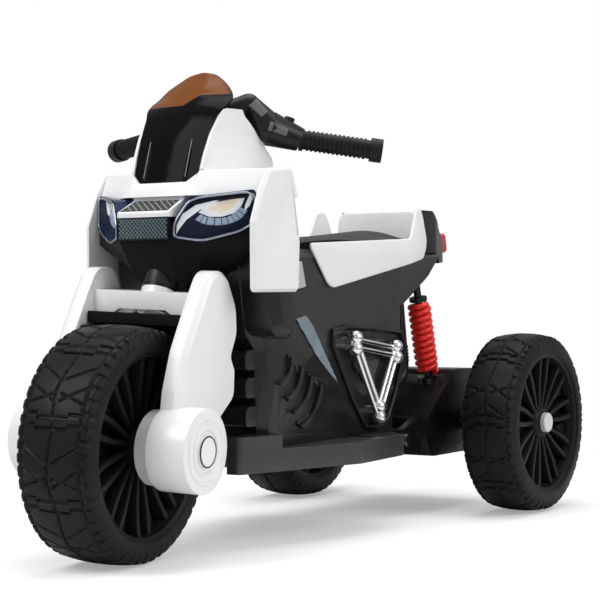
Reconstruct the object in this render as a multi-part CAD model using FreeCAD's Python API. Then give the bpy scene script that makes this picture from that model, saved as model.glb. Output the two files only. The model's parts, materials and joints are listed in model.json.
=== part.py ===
import FreeCAD, Part
import math
import os

# A child's electric three-wheeler motorbike: one wide wheel in a raked fork,
# and two wheels on a sprung rear axle.
# Millimetres. The front faces -Y, the rider's left is +X, and Z is up from the ground under the middle.

V = FreeCAD.Vector

# Overall layout
WHEELBASE = 638.0
FRONT_RADIUS = 130.0
FRONT_WIDTH = 93.0
REAR_RADIUS = 118.0
REAR_WIDTH = 76.0
REAR_TRACK = 364.0
RAKE = 22.0
STEER_TRAIL = 12.0
STEER_REST = 6.3
STEER_LIMIT = 20.0

# Fits and walls
RUN_CLEARANCE = 0.05
SLIDE_CLEARANCE = 0.08
MOULD_GAP = 0.3
SWEEP_GAP = 0.8
WALL = 3.5

# Wheels
TREAD_WALL = 9.0
GROOVE_DEPTH = 4.0
GROOVE_WIDTH = 5.0
TREAD_PITCHES = 18
RIM_DROP = 23.0
DISC_INSET = 18.0
DISC_WALL = 6.0
SPOKES = 10
HUB_RADIUS = 22.0
AXLE_RADIUS = 6.0
BUSH_WALL = 2.5
BUSH_LENGTH = 16.0
HUB_CAP_RADIUS = 13.0
HUB_CAP_LENGTH = 7.0

# Fork
LEG_INNER = 64.0
LEG_OUTER = 86.0
LEG_CHAMFER = 6.0
BOSS_RADIUS = 46.0
BOSS_INNER = 64.0
BOSS_OUTER = 112.0
SPACER_RADIUS = 41.0
CAP_RADIUS = 17.0
CAP_LENGTH = 3.0
NUT_RADIUS = 10.0
NUT_LENGTH = 6.0
CROWN_TOP = 296.0
CROWN_FRONT = 44.0
CROWN_REAR = 90.0
CROWN_DEPTH = 20.0
ARCH_DROP = 14.0
STEM_RADIUS = 11.0
STEM_BOSS = 20.0
GUARD_GAP = 3.5
GUARD_WALL = 4.0
GUARD_SIDE_GAP = 2.0
GUARD_LEAD = 14.0

# Steering head
HEAD_RADIUS = 20.0
HEAD_BUSH_WALL = 3.0
HEAD_BUSH_LENGTH = 14.0
HEAD_FLANGE = 2.0
HEAD_LOW = 182.5
HEAD_HIGH = 292.0
STEM_LOW = 152.0
STEM_HIGH = 408.0

# Handlebar
BAR_HUB_RADIUS = 17.0
BAR_HUB_LENGTH = 42.0
ARM_RADIUS = 13.5
POD_RADIUS = 20.5
POD_END_RADIUS = 14.0
BAR_CORE_RADIUS = 8.0
GRIP_RADIUS = 11.0
GRIP_RIDGE = 1.2
GRIP_RIDGES = 14
GRIP_END_RADIUS = 14.0
BUTTON_RADIUS = 6.0
BUTTON_TRAVEL = 2.0
BUTTON_PROUD = 3.5
BUTTON_SUNK = 4.5

# Head and body panels
SHELL_WALL = 4.0
NOSE_HALF = 36.0
FAIRING_OUTER = 120.0
FAIRING_WALL = 6.0
SCREEN_WALL = 3.0
LENS_WALL = 3.0
BOWL_DEPTH = 26.0
LED_RADIUS = 9.0
GRILLE_WALL = 4.0
GRILLE_COLUMNS = 9
GRILLE_ROWS = 3
VENT_SLOTS = 6
BODY_HALF = 78.0
BODY_CHAMFER = 10.0
TAIL_CHAMFER = 6.0
SPINE_HALF = 58.0
TAIL_HALF = 66.0
BODY_TOP = 345.0
BODY_BOTTOM = 88.0
FOOT_TOP = 114.0
FOOT_BLOCK_TOP = 130.0
PANEL_WALL = 4.0
SEAT_THICKNESS = 16.0
SEAT_CROWN = 13.0

# Pedal, switches and socket
PEDAL_LENGTH = 72.0
PEDAL_WIDTH = 36.0
PEDAL_WALL = 7.0
PEDAL_LIFT = 11.0
PIN_RADIUS = 3.0
ROCKER_LENGTH = 20.0
ROCKER_WIDTH = 13.0
SOCKET_RADIUS = 4.0
SOCKET_DEPTH = 12.0

# Rear end
PIVOT_AFT = 504.0
PIVOT_Z = 99.0
PIVOT_RADIUS = 6.0
ARM_EYE_RADIUS = 16.0
ARM_WALL = 11.0
HOUSING_HALF = 92.0
SPRING_INSET = 6.0
SPRING_ROOM = 72.0
TAIL_OVERHANG = 59.0
SPRING_TOP_AFT = 570.0
SPRING_TOP_Z = 280.0
SPRING_FOOT_AFT = 596.0
SPRING_FOOT_Z = 178.5
WIRE_RADIUS = 3.9
COIL_RADIUS = 10.9
COIL_TURNS = 11
SEAT_RING_RADIUS = 15.0
SEAT_RING_LENGTH = 5.0
SHOCK_ROD_RADIUS = 5.0
SHOCK_ROD_LENGTH = 24.0
SHOCK_ROD_REACH = 42.0

# Gear train of the driven wheel
WHEEL_TEETH = 42
SMALL_TEETH = 14
LARGE_TEETH = 48
PINION_TEETH = 12
SLOW_MODULE = 1.5
FAST_MODULE = 1.25
SLOW_FACE = 10.0
FAST_FACE = 8.0
BACKLASH = 0.3
SLEEVE_RADIUS = 13.0
GEAR_PIN_RADIUS = 4.0
MOTOR_RADIUS = 18.0
MOTOR_LENGTH = 57.0
MOTOR_SHAFT_RADIUS = 1.6
GEAR_BOSS_LENGTH = 15.5
GEAR_SIDE_GAP = 1.0

# Places worked out from the layout
FRONT_AXLE_Y = (FRONT_RADIUS - REAR_RADIUS - WHEELBASE) / 2
REAR_AXLE_Y = FRONT_AXLE_Y + WHEELBASE
AXIS = V(0, math.sin(math.radians(RAKE)), math.cos(math.radians(RAKE)))
AXIS_BASE = V(0, FRONT_AXLE_Y + STEER_TRAIL, FRONT_RADIUS)
X_AXIS = V(1, 0, 0)


def aft(distance):
    return FRONT_AXLE_Y + distance


def on_axis(s):
    return AXIS_BASE + AXIS * s


# Shape helpers

def cylinder(start, direction, radius, length):
    return Part.makeCylinder(radius, length, start, direction)


def rod(start, end, radius):
    along = end - start
    return Part.makeCylinder(radius, along.Length, start, along)


def cone(start, end, radius_start, radius_end):
    along = end - start
    return Part.makeCone(radius_start, radius_end, along.Length, start, along)


def box(low, high):
    size = high - low
    return Part.makeBox(size.x, size.y, size.z, low)


def fuse(shapes):
    whole = shapes[0].multiFuse(shapes[1:]) if len(shapes) > 1 else shapes[0]
    return whole.removeSplitter()


def mirrored(shape):
    return shape.mirror(V(0, 0, 0), X_AXIS)


def both(shape):
    return Part.makeCompound([shape, mirrored(shape)])


def rounded_wire(points, place):
    # Closed outline of (a, b) or (a, b, corner radius) points, with round corners as arcs.
    count = len(points)
    spots = [place(p[0], p[1]) for p in points]
    starts = []
    ends = []
    arcs = []
    for i in range(count):
        here = spots[i]
        back = spots[i - 1] - here
        ahead = spots[(i + 1) % count] - here
        radius = points[i][2] if len(points[i]) > 2 else 0.0
        half = back.getAngle(ahead) / 2
        reach = min(radius / math.tan(half), 0.45 * back.Length, 0.45 * ahead.Length) if radius else 0.0
        if reach < 0.05:
            starts.append(here)
            ends.append(here)
            arcs.append(None)
            continue
        radius = reach * math.tan(half)
        start = here + back.normalize() * reach
        end = here + ahead.normalize() * reach
        middle = (start + end) * 0.5 - here
        depth = reach / math.cos(half) - radius
        arc = Part.Arc(start, here + middle.normalize() * depth, end)
        starts.append(start)
        ends.append(end)
        arcs.append(arc.toShape())
    edges = []
    for i in range(count):
        if arcs[i]:
            edges.append(arcs[i])
        following = starts[(i + 1) % count]
        if (following - ends[i]).Length > 0.01:
            edges.append(Part.LineSegment(ends[i], following).toShape())
    return Part.Wire(Part.__sortEdges__(edges))


def prism(points, place, reach):
    return Part.Face(rounded_wire(points, place)).extrude(reach)


def prism_x(points, low, high):
    # Side-view outline of (aft, z) points, pulled across from low to high.
    return prism(points, lambda a, z: V(low, aft(a), z), V(high - low, 0, 0))


def prism_y(points, low, high):
    # Front-view outline of (x, z) points, pulled from aft low to aft high.
    return prism(points, lambda x, z: V(x, aft(low), z), V(0, high - low, 0))


def prism_z(points, low, high):
    # Plan outline of (x, aft) points, pulled up from low to high.
    return prism(points, lambda x, a: V(x, aft(a), low), V(0, 0, high - low))


def chamfer_outer(shape, x, size):
    # Chamfers the rim of the face that lies at x.
    rim = [e for e in shape.Edges if all(abs(v.Point.x - x) < 1e-4 for v in e.Vertexes)]
    return shape.makeChamfer(size, rim)


def loft(wires, ruled=True):
    return Part.makeLoft(wires, True, ruled)


def revolve_x(points, centre):
    # Section of (x, radius) points turned about the X line through centre.
    wire = Part.makePolygon([centre + V(x, 0, r) for x, r in points + points[:1]])
    return Part.Face(wire).revolve(centre, X_AXIS, 360)


def largest(shape):
    return max(shape.Solids, key=lambda solid: solid.Volume)


def steered(shape):
    # The front end stands turned to the rider's left, as it is shown.
    turned = shape.copy()
    turned.rotate(AXIS_BASE, AXIS, STEER_REST)
    return turned


# Wheels

def wheel(centre, radius, width, hub_half, bore):
    half = width / 2
    rim = radius - RIM_DROP
    disc = half - DISC_INSET
    inner = disc - DISC_WALL
    side = [(half - 12, radius - 2), (half, radius - 11), (half, rim), (disc, rim - 9), (disc,
        HUB_RADIUS),
            (hub_half, HUB_RADIUS), (hub_half, bore)]
    hollow = [(inner, HUB_RADIUS), (inner, rim - 6), (half - 8, rim + 2), (half - 8,
        radius - TREAD_WALL - 5),
              (half - 14, radius - TREAD_WALL - 2)]
    outline = [(0, radius)] + side + [(-x, r) for x, r in reversed(side)]
    void = hollow + [(0, radius - TREAD_WALL)] + [(-x, r) for x, r in reversed(hollow)]
    body = revolve_x(outline, centre).cut(revolve_x(void, centre))
    return body.cut(Part.makeCompound(spoke_windows(centre, rim, half) + tread_grooves(centre, radius,
        half)))


def spoke_windows(centre, rim, half):
    low = HUB_RADIUS + 10
    high = rim - 14
    narrow = 0.16 * math.pi / SPOKES
    wide = 0.5 * math.pi / SPOKES
    corners = [(low, -narrow), (high, -wide), (high, wide), (low, narrow)]
    spots = [centre + V(-half, r * math.sin(t), r * math.cos(t)) for r, t in corners]
    window = Part.Face(Part.makePolygon(spots + spots[:1])).extrude(V(2 * half, 0, 0))
    return [window.rotated(centre, X_AXIS, 360.0 * i / SPOKES) for i in range(SPOKES)]


def tread_grooves(centre, radius, half):
    floor = radius - GROOVE_DEPTH
    low = centre + V(3, -GROOVE_WIDTH / 2, floor)
    slot = box(low, low + V(half + 6, GROOVE_WIDTH, 2 * GROOVE_DEPTH)).rotated(centre, V(0, 0, 1), 22)
    pitch = 360.0 / TREAD_PITCHES
    near = [slot.rotated(centre, X_AXIS, pitch * i) for i in range(TREAD_PITCHES)]
    other = slot.mirror(centre, X_AXIS)
    far = [other.rotated(centre, X_AXIS, pitch * (i + 0.5)) for i in range(TREAD_PITCHES)]
    return near + far


def ring_x(centre, low, high, outer, inner):
    start = centre + V(low, 0, 0)
    return cylinder(start, X_AXIS, outer, high - low).cut(cylinder(start, X_AXIS, inner, high - low))


FRONT_CENTRE = V(0, FRONT_AXLE_Y, FRONT_RADIUS)
FRONT_HUB_HALF = FRONT_WIDTH / 2 + 1
SPACER_INNER = FRONT_HUB_HALF + 0.5
POCKET_FLOOR = BOSS_OUTER - NUT_LENGTH - 3
RUN_BORE = AXLE_RADIUS + RUN_CLEARANCE


def make_front_wheel():
    return wheel(FRONT_CENTRE, FRONT_RADIUS, FRONT_WIDTH, FRONT_HUB_HALF, AXLE_RADIUS + BUSH_WALL)


def make_front_bushes():
    high = FRONT_HUB_HALF
    return both(ring_x(FRONT_CENTRE, high - BUSH_LENGTH, high, AXLE_RADIUS + BUSH_WALL, RUN_BORE))


def make_front_axle():
    half = POCKET_FLOOR + NUT_LENGTH + 1
    return cylinder(FRONT_CENTRE - X_AXIS * half, X_AXIS, AXLE_RADIUS, 2 * half)


def make_front_nuts():
    return both(ring_x(FRONT_CENTRE, POCKET_FLOOR, POCKET_FLOOR + NUT_LENGTH, NUT_RADIUS, AXLE_RADIUS))


def make_fork_spacers():
    return both(ring_x(FRONT_CENTRE, SPACER_INNER, BOSS_INNER, SPACER_RADIUS, RUN_BORE))


def make_axle_caps():
    return both(cylinder(FRONT_CENTRE + X_AXIS * BOSS_OUTER, X_AXIS, CAP_RADIUS, CAP_LENGTH))


# Fork and mudguard

LEG_OUTLINE = [(-20, 150), (-15, 192, 60), (0, 236, 80), (30, 289, 80), (50, 321, 24), (84, 321, 24),
               (109, 282, 40), (113, 250, 30), (101, 226, 4), (110, 212, 8), (110, 178, 20), (40, 128)]


def make_fork_leg():
    leg = prism_x(LEG_OUTLINE, LEG_INNER, LEG_OUTER)
    leg = chamfer_outer(leg, LEG_OUTER, LEG_CHAMFER)
    boss = cylinder(FRONT_CENTRE + X_AXIS * BOSS_INNER, X_AXIS, BOSS_RADIUS, BOSS_OUTER - BOSS_INNER)
    lining = rounded_wire(LEG_OUTLINE, lambda a, z: V(LEG_INNER, aft(a), z)).makeOffset2D(-2 * WALL)
    pocket = Part.Face(lining).extrude(V(LEG_OUTER - LEG_INNER - 2 * WALL, 0, 0))
    below = box(V(0, aft(-200), 0), V(2 * LEG_OUTER, aft(200), CROWN_TOP - 2 * CROWN_DEPTH))
    leg = leg.cut(pocket.common(below)).fuse(boss)
    bore = cylinder(FRONT_CENTRE, X_AXIS, RUN_BORE, BOSS_OUTER)
    nut_pocket = cylinder(FRONT_CENTRE + X_AXIS * POCKET_FLOOR, X_AXIS, NUT_RADIUS + MOULD_GAP,
        BOSS_OUTER)
    return leg.cut(bore).cut(nut_pocket).removeSplitter()


def make_fork_crown():
    under = CROWN_TOP - CROWN_DEPTH
    outline = [(LEG_INNER, CROWN_TOP), (LEG_INNER, under - ARCH_DROP), (LEG_INNER - 12, under - ARCH_DROP),
               (LEG_INNER - 34, under)]
    outline = outline + [(-x, z) for x, z in reversed(outline)]
    bridge = prism_y(outline, CROWN_FRONT, CROWN_REAR)
    length = (CROWN_TOP - on_axis(STEM_LOW).z) / AXIS.z
    boss = cylinder(on_axis(STEM_LOW), AXIS, STEM_BOSS, length)
    stem = cylinder(on_axis(STEM_LOW), AXIS, STEM_RADIUS, STEM_HIGH)
    low = on_axis(HEAD_LOW - HEAD_FLANGE - SWEEP_GAP)
    head = cylinder(low, AXIS, HEAD_RADIUS + SWEEP_GAP, HEAD_HIGH - HEAD_LOW)
    return bridge.fuse(boss).cut(stem).cut(head).removeSplitter()


def make_mudguard(crown):
    top = CROWN_TOP - CROWN_DEPTH + 6
    clear = FRONT_RADIUS + GUARD_GAP
    front = CROWN_FRONT - GUARD_LEAD
    half = LEG_INNER - GUARD_SIDE_GAP
    rear = CROWN_REAR + 18
    block = box(V(-half, aft(front), FRONT_RADIUS), V(half, aft(rear), top))
    start = FRONT_CENTRE - X_AXIS * half
    over = cylinder(start, X_AXIS, clear + 3 * GUARD_WALL, 2 * half)
    under = cylinder(start, X_AXIS, clear, 2 * half)
    boss = cylinder(on_axis(STEM_LOW - STEM_BOSS), AXIS, STEM_BOSS + MOULD_GAP, 3 * STEM_BOSS)
    return block.common(over).cut(under).cut(crown).cut(boss)


def make_stem():
    return cylinder(on_axis(STEM_LOW), AXIS, STEM_RADIUS, STEM_HIGH - STEM_LOW)


# Handlebar, as (x, aft, z) points of the left side
ELBOW = (47, 190, 514)
POD_START = (70, 201, 487)
POD_END = (98, 223, 476)
GRIP_END = (184, 268, 465)
STEER_STEPS = 4


def spot(point):
    return V(point[0], aft(point[1]), point[2])


POD_MIDDLE = (spot(POD_START) + spot(POD_END)) * 0.5
POD_ALONG = (spot(POD_END) - spot(POD_START)).normalize()
POD_MID_RADIUS = (POD_RADIUS + POD_END_RADIUS) / 2
BUTTON_AXIS = (V(0, 0, 1) - POD_ALONG * POD_ALONG.z).normalize()
GRIP_ALONG = (spot(GRIP_END) - spot(POD_END)).normalize()
GRIP_LENGTH = (spot(GRIP_END) - spot(POD_END)).Length
BAR_MIDDLE = on_axis(STEM_HIGH - BAR_HUB_LENGTH / 2)


def bar_arm(grow):
    # Arm from the stem over the screen's edge and down to the pod, with its radii grown.
    elbow = spot(ELBOW)
    start = spot(POD_START)
    slim = ARM_RADIUS + grow
    stout = POD_RADIUS - 2 + grow
    return [rod(BAR_MIDDLE, elbow, slim), Part.makeSphere(slim, elbow), cone(elbow, start, slim, stout),
            Part.makeSphere(stout, start)]


def clear_of_arms(shape):
    # Trims a fixed moulding where the arm passes as the bar turns from lock to lock.
    for step in range(-STEER_STEPS, STEER_STEPS + 1):
        for piece in bar_arm(SWEEP_GAP):
            shape = shape.cut(piece.rotated(AXIS_BASE, AXIS, STEER_LIMIT * step / STEER_STEPS))
    return shape


def make_bar_side():
    pod_end = spot(POD_END)
    pod = cone(spot(POD_START), pod_end, POD_RADIUS, POD_END_RADIUS)
    core = rod(pod_end - GRIP_ALONG * 2, spot(GRIP_END) - GRIP_ALONG * 8, BAR_CORE_RADIUS)
    bar = fuse(bar_arm(0.0) + [pod, core])
    floor = POD_MIDDLE + BUTTON_AXIS * (POD_MID_RADIUS - BUTTON_TRAVEL - 5)
    return bar.cut(cylinder(floor, BUTTON_AXIS, BUTTON_RADIUS + SLIDE_CLEARANCE, 3 * POD_RADIUS))


def make_handlebar():
    low = on_axis(STEM_HIGH - BAR_HUB_LENGTH + 4)
    hub = cylinder(low, AXIS, BAR_HUB_RADIUS, BAR_HUB_LENGTH)
    side = make_bar_side()
    return fuse([hub, side, mirrored(side)]).cut(make_stem())


def make_button():
    floor = POD_MIDDLE + BUTTON_AXIS * (POD_MID_RADIUS - BUTTON_SUNK)
    body = cylinder(floor, BUTTON_AXIS, BUTTON_RADIUS, BUTTON_SUNK + BUTTON_PROUD)
    top = BUTTON_SUNK + BUTTON_PROUD
    rim = [e for e in body.Edges if abs((e.CenterOfMass - floor).dot(BUTTON_AXIS) - top) < 0.01]
    return body.makeFillet(1.2, rim)


def make_grip():
    start = spot(POD_END)
    end = spot(GRIP_END)
    pieces = [rod(start, end, GRIP_RADIUS)]
    pieces.append(cylinder(start, GRIP_ALONG, GRIP_END_RADIUS - 1, 5))
    pieces.append(cylinder(end - GRIP_ALONG * 14, GRIP_ALONG, GRIP_END_RADIUS, 14))
    pitch = (GRIP_LENGTH - 26) / GRIP_RIDGES
    for i in range(GRIP_RIDGES):
        foot = start + GRIP_ALONG * (9 + pitch * i)
        pieces.append(cylinder(foot, GRIP_ALONG, GRIP_RADIUS + GRIP_RIDGE, pitch / 2))
    core = rod(start - GRIP_ALONG * POD_RADIUS, end - GRIP_ALONG * 8, BAR_CORE_RADIUS)
    pod = cone(spot(POD_START), start, POD_RADIUS, POD_END_RADIUS)
    return fuse(pieces).cut(core).cut(pod)


# Head: nose, cheeks, side fairings, screen and lamps

def mirrored_points(points):
    # Outline of the left half, front to back, closed by its mirror image.
    return points + [(-x, a) for x, a in reversed(points)]


def plan_loft(sections):
    # Solid through plan outlines given as (z, left half points).
    wires = []
    for z, points in sections:
        wires.append(rounded_wire(mirrored_points(points), lambda x, a: V(x, aft(a), z)))
    return loft(wires)


NOSE_OUTLINE = [(50, 378), (50, 384, 3), (79, 398, 3), (88, 418, 6), (96, 430), (128, 430), (128, 402),
    (96, 378)]
VENT_OUTLINE = [(55, 386.4), (77, 397), (78.3, 394.3), (56.3, 383.7)]
BROW_LOW = [(40, 74), (113, 114), (118, 128), (114, 192)]
BROW_HIGH = [(47, 95), (117, 130), (117, 142), (113, 182)]
BROW_Z = (402.0, 432.0)
CHEEK_SECTIONS = [(BROW_Z[1], [(50, 94), (64, 219)]), (450, [(51, 100), (64, 214)]),
                  (459, [(51.5, 104), (63, 205)]), (472, [(52, 110), (61, 194)]),
                  (503, [(54, 131), (60, 164)])]
CHIN_TOP = [(36, 54), (113, 113), (113, 150)]
CHIN_BOTTOM = [(26, 74), (40, 112), (40, 150)]
CHIN_Z = (306.0, 350.0, 372.0)
FAIRING_OUTLINE = [(94, 294, 6), (94, 372, 8), (110, 408), (126, 432, 4), (172, 437, 8), (189, 353, 30),
    (186, 294, 6)]
FAIRING_FACET = [(172, 424), (134, 380), (150, 356), (184, 358)]
LAMP_INNER = (36.0, 52.0)
LAMP_OUTER = (114.0, 113.0)
LAMP_OUTLINE = [(2, 354, 4), (4, 372, 6), (22, 400, 6), (95, 408, 4), (98, 372, 4), (78, 360, 10), (36,
    349, 10)]
LED_SPOT = (58.0, 384.0)
SCREEN_SECTIONS = [(418, 34, 87, 90), (428, 46, 90, 95), (470, 48.5, 104, 110), (494, 50, 116, 122),
                   (504, 55, 123, 131), (512, 56.5, 130, 141), (520, 53, 138, 151), (531, 43, 148, 157),
                   (541, 28, 158, 163), (550, 8, 166, 167)]
SCREEN_ROOM = 40.0
DASH_SECTIONS = [(421, 28, 94, 96), (432, 38, 97, 102), (470, 41, 112, 118), (488, 41, 122, 127)]


def make_nose_cowl():
    nose = prism_x(NOSE_OUTLINE, -NOSE_HALF, NOSE_HALF)
    brow = plan_loft([(BROW_Z[0], BROW_LOW), (BROW_Z[1], BROW_HIGH)])
    hollow = plan_loft([(BROW_Z[0] - 30, [(30, 118), (104, 124), (104, 230)]),
                        (BROW_Z[1] - SHELL_WALL, [(30, 118), (104, 134), (104, 230)])])
    slot = prism_x(VENT_OUTLINE, -NOSE_HALF + 4, NOSE_HALF - 4)
    stem = cylinder(on_axis(0), AXIS, HEAD_RADIUS + 6, STEM_HIGH)
    return nose.fuse(brow).cut(hollow).cut(slot).cut(stem).removeSplitter()


def make_cheek():
    walls = []
    for z, points in CHEEK_SECTIONS:
        outer = [V(x, aft(a), z) for x, a in points]
        inner = [p - X_AXIS * SHELL_WALL for p in reversed(outer)]
        walls.append(Part.makePolygon(outer + inner + outer[:1]))
    return loft(walls)


def make_side_fairing():
    panel = prism_x(FAIRING_OUTLINE, FAIRING_OUTER - FAIRING_WALL, FAIRING_OUTER)
    panel = chamfer_outer(panel, FAIRING_OUTER, FAIRING_WALL * 0.6)
    return panel.cut(prism_x(FAIRING_FACET, FAIRING_OUTER - FAIRING_WALL * 0.3, FAIRING_OUTER + 1))


def sheet(sections, wall):
    # Upright curved sheet through (z, half width, middle aft, edge aft) sections.
    wires = []
    for z, half, middle, edge in sections:
        front = Part.Arc(V(-half, aft(edge), z), V(0, aft(middle), z), V(half, aft(edge), z)).toShape()
        back = front.translated(V(0, wall, 0))
        left = Part.LineSegment(V(half, aft(edge), z), V(half, aft(edge) + wall, z)).toShape()
        right = Part.LineSegment(V(-half, aft(edge) + wall, z), V(-half, aft(edge), z)).toShape()
        wires.append(Part.Wire(Part.__sortEdges__([front, left, back, right])))
    return loft(wires)


def make_windscreen():
    return sheet(SCREEN_SECTIONS, SCREEN_WALL)


def screen_front():
    # The space ahead of the screen's foot, which the white mouldings leave open.
    return sheet(SCREEN_SECTIONS[:4], -SCREEN_ROOM)


def make_dash():
    return sheet(DASH_SECTIONS, SHELL_WALL)


LAMP_RUN = V(LAMP_OUTER[0] - LAMP_INNER[0], LAMP_OUTER[1] - LAMP_INNER[1], 0).normalize()
LAMP_OUT = V(LAMP_RUN.y, -LAMP_RUN.x, 0)


def lamp_place(t, z):
    return V(LAMP_INNER[0], aft(LAMP_INNER[1]), z) + LAMP_RUN * t


def lamp_block():
    return prism(LAMP_OUTLINE, lamp_place, LAMP_OUT * -BOWL_DEPTH)


def make_lamp_bowl():
    lining = rounded_wire(LAMP_OUTLINE, lamp_place).makeOffset2D(-SHELL_WALL)
    return lamp_block().cut(Part.Face(lining).extrude(LAMP_OUT * (SHELL_WALL - BOWL_DEPTH)))


def make_lamp_lens():
    return prism(LAMP_OUTLINE, lamp_place, LAMP_OUT * LENS_WALL)


def make_led():
    foot = lamp_place(*LED_SPOT) + LAMP_OUT * (SHELL_WALL - BOWL_DEPTH)
    body = cylinder(foot, LAMP_OUT, LED_RADIUS, BOWL_DEPTH / 2)
    return body.fuse(Part.makeSphere(LED_RADIUS, foot + LAMP_OUT * (BOWL_DEPTH / 2))).removeSplitter()


def make_grille():
    low = 352.5
    high = NOSE_OUTLINE[0][1] - MOULD_GAP
    plate = box(V(1 - NOSE_HALF, aft(50), low), V(NOSE_HALF - 1, aft(50) + GRILLE_WALL, high))
    step_x = 2 * (NOSE_HALF - 3) / GRILLE_COLUMNS
    step_z = (high - low - 4) / GRILLE_ROWS
    holes = []
    for i in range(GRILLE_COLUMNS):
        for j in range(GRILLE_ROWS):
            x = 3 - NOSE_HALF + step_x * (i + 0.5)
            z = low + 2 + step_z * (j + 0.5)
            diamond = [(x - 0.4 * step_x, z), (x, z - 0.4 * step_z), (x + 0.4 * step_x, z), (x,
                z + 0.4 * step_z)]
            holes.append(prism_y(diamond, 49, 51 + GRILLE_WALL))
    return plate.cut(Part.makeCompound(holes))


def make_vent():
    half = NOSE_HALF - 4
    plate = prism_x(VENT_OUTLINE, -half, half)
    step = 2 * half / VENT_SLOTS
    slots = []
    for i in range(VENT_SLOTS):
        x = step * (i + 0.5) - half
        slots.append(box(V(x - 0.3 * step, aft(60), 380), V(x + 0.3 * step, aft(73), 400)))
    return plate.cut(Part.makeCompound(slots))


def make_chin():
    outer = plan_loft([(CHIN_Z[0], CHIN_BOTTOM), (CHIN_Z[1], CHIN_TOP), (CHIN_Z[2], CHIN_TOP)])
    top = [(33, 58), (109, 116), (109, 160)]
    bottom = [(23, 78), (36, 114), (36, 160)]
    inner = plan_loft([(CHIN_Z[0] + SHELL_WALL, bottom), (CHIN_Z[1], top), (CHIN_Z[2] + 1, top)])
    head = cylinder(on_axis(HEAD_LOW - 60), AXIS, HEAD_RADIUS + MOULD_GAP, HEAD_HIGH)
    return outer.cut(inner).cut(head)


# Chassis halves

BODY_REAR = SPRING_TOP_AFT - SPRING_ROOM
TAIL_END = SPRING_TOP_AFT + TAIL_OVERHANG
SPRING_X = TAIL_HALF - SPRING_INSET
MAIN_OUTLINE = [(138, BODY_TOP, 16), (136, 318, 16), (150, 246, 16), (168, 228, 10), (172, 104, 16),
    (184, BODY_BOTTOM, 14),
                (470, BODY_BOTTOM, 14), (478, 130, 16), (472, 162, 16), (BODY_REAR, 200, 16),
                (BODY_REAR, 300), (BODY_REAR + 12, BODY_TOP, 14)]
TAIL_OUTLINE = [(BODY_REAR - 28, BODY_TOP), (BODY_REAR - 28, 255), (TAIL_END - 114, 269, 10),
                (TAIL_END - 37, 310, 20), (TAIL_END + 4, BODY_TOP)]
FLANK_OUTLINE = [(137, 352), (138, 318, 20), (150, 246, 16), (196, 236, 16), (190, 352)]
TONGUE_OUTLINE = [(460, BODY_BOTTOM), (PIVOT_AFT, PIVOT_Z - 15, 6), (PIVOT_AFT + 15, PIVOT_Z, 8),
                  (PIVOT_AFT, PIVOT_Z + 15, 6), (460, PIVOT_Z + 20)]
WEB_OUTLINE = [(84, 309), (150, 309), (150, BODY_TOP), (144, 392), (124, 400)]
FLANK_HALF = FAIRING_OUTER - FAIRING_WALL
TONGUE_HALF = 66.0
FIN_LEVELS = (140.0, 173.0, 205.0)
FIN_HEIGHT = 23.0
FIN_FRONT = 150.0
FIN_HALF = 68.0
FOOT_FRONT = 126.0
FOOT_REAR = 440.0
FOOT_BLOCK_REAR = 194.0
HEAD_BORE = STEM_RADIUS + RUN_CLEARANCE + HEAD_BUSH_WALL


def hollow_prism(outline, low, high, chamfer):
    # Outer moulding and the space inside it, open at the split plane.
    outer = prism_x(outline, low, high)
    if chamfer:
        outer = chamfer_outer(outer, high, chamfer)
    lining = rounded_wire(outline, lambda a, z: V(low, aft(a), z)).makeOffset2D(-WALL)
    depth = high - low - max(WALL, chamfer * 0.75)
    return outer, Part.Face(lining).extrude(V(depth, 0, 0))


def foot_room(inset):
    # Where the footboard tucks in under the body side.
    edge = SPINE_HALF - inset
    board = box(V(edge, aft(100), 0), V(200, aft(FOOT_REAR) + inset, FOOT_TOP + inset))
    block = box(V(edge, aft(100), 0), V(200, aft(FOOT_BLOCK_REAR) + inset, FOOT_BLOCK_TOP + inset))
    return board.fuse(block)


def make_chassis_half():
    main, main_void = hollow_prism(MAIN_OUTLINE, 0, BODY_HALF, BODY_CHAMFER)
    tail, tail_void = hollow_prism(TAIL_OUTLINE, 0, TAIL_HALF, TAIL_CHAMFER)
    flank = chamfer_outer(prism_x(FLANK_OUTLINE, 60, FLANK_HALF), FLANK_HALF, BODY_CHAMFER)
    tongue = prism_x(TONGUE_OUTLINE, 0, TONGUE_HALF)
    fins = []
    for level in FIN_LEVELS:
        fin = [(FIN_FRONT, level, 5), (FIN_FRONT, level + FIN_HEIGHT, 9), (180, level + FIN_HEIGHT),
            (180, level)]
        fins.append(prism_x(fin, 0, FIN_HALF))
    space = main_void.fuse(tail_void).cut(foot_room(WALL))
    shell = fuse([main, tail, flank, tongue] + fins).cut(space)
    web = prism_x(WEB_OUTLINE, 0, 10)
    head = cylinder(on_axis(HEAD_LOW), AXIS, HEAD_RADIUS, HEAD_HIGH - HEAD_LOW)
    shell = fuse([shell, web, head.common(box(V(0, -1000, 0), V(200, 1000, 1000)))])
    bore = cylinder(on_axis(0), AXIS, HEAD_BORE, 2 * HEAD_HIGH)
    pivot = cylinder(V(0, aft(PIVOT_AFT), PIVOT_Z), X_AXIS, PIVOT_RADIUS, 2 * TONGUE_HALF)
    return shell.cut(foot_room(0)).cut(bore).cut(pivot).cut(make_head_bushes())


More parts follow.
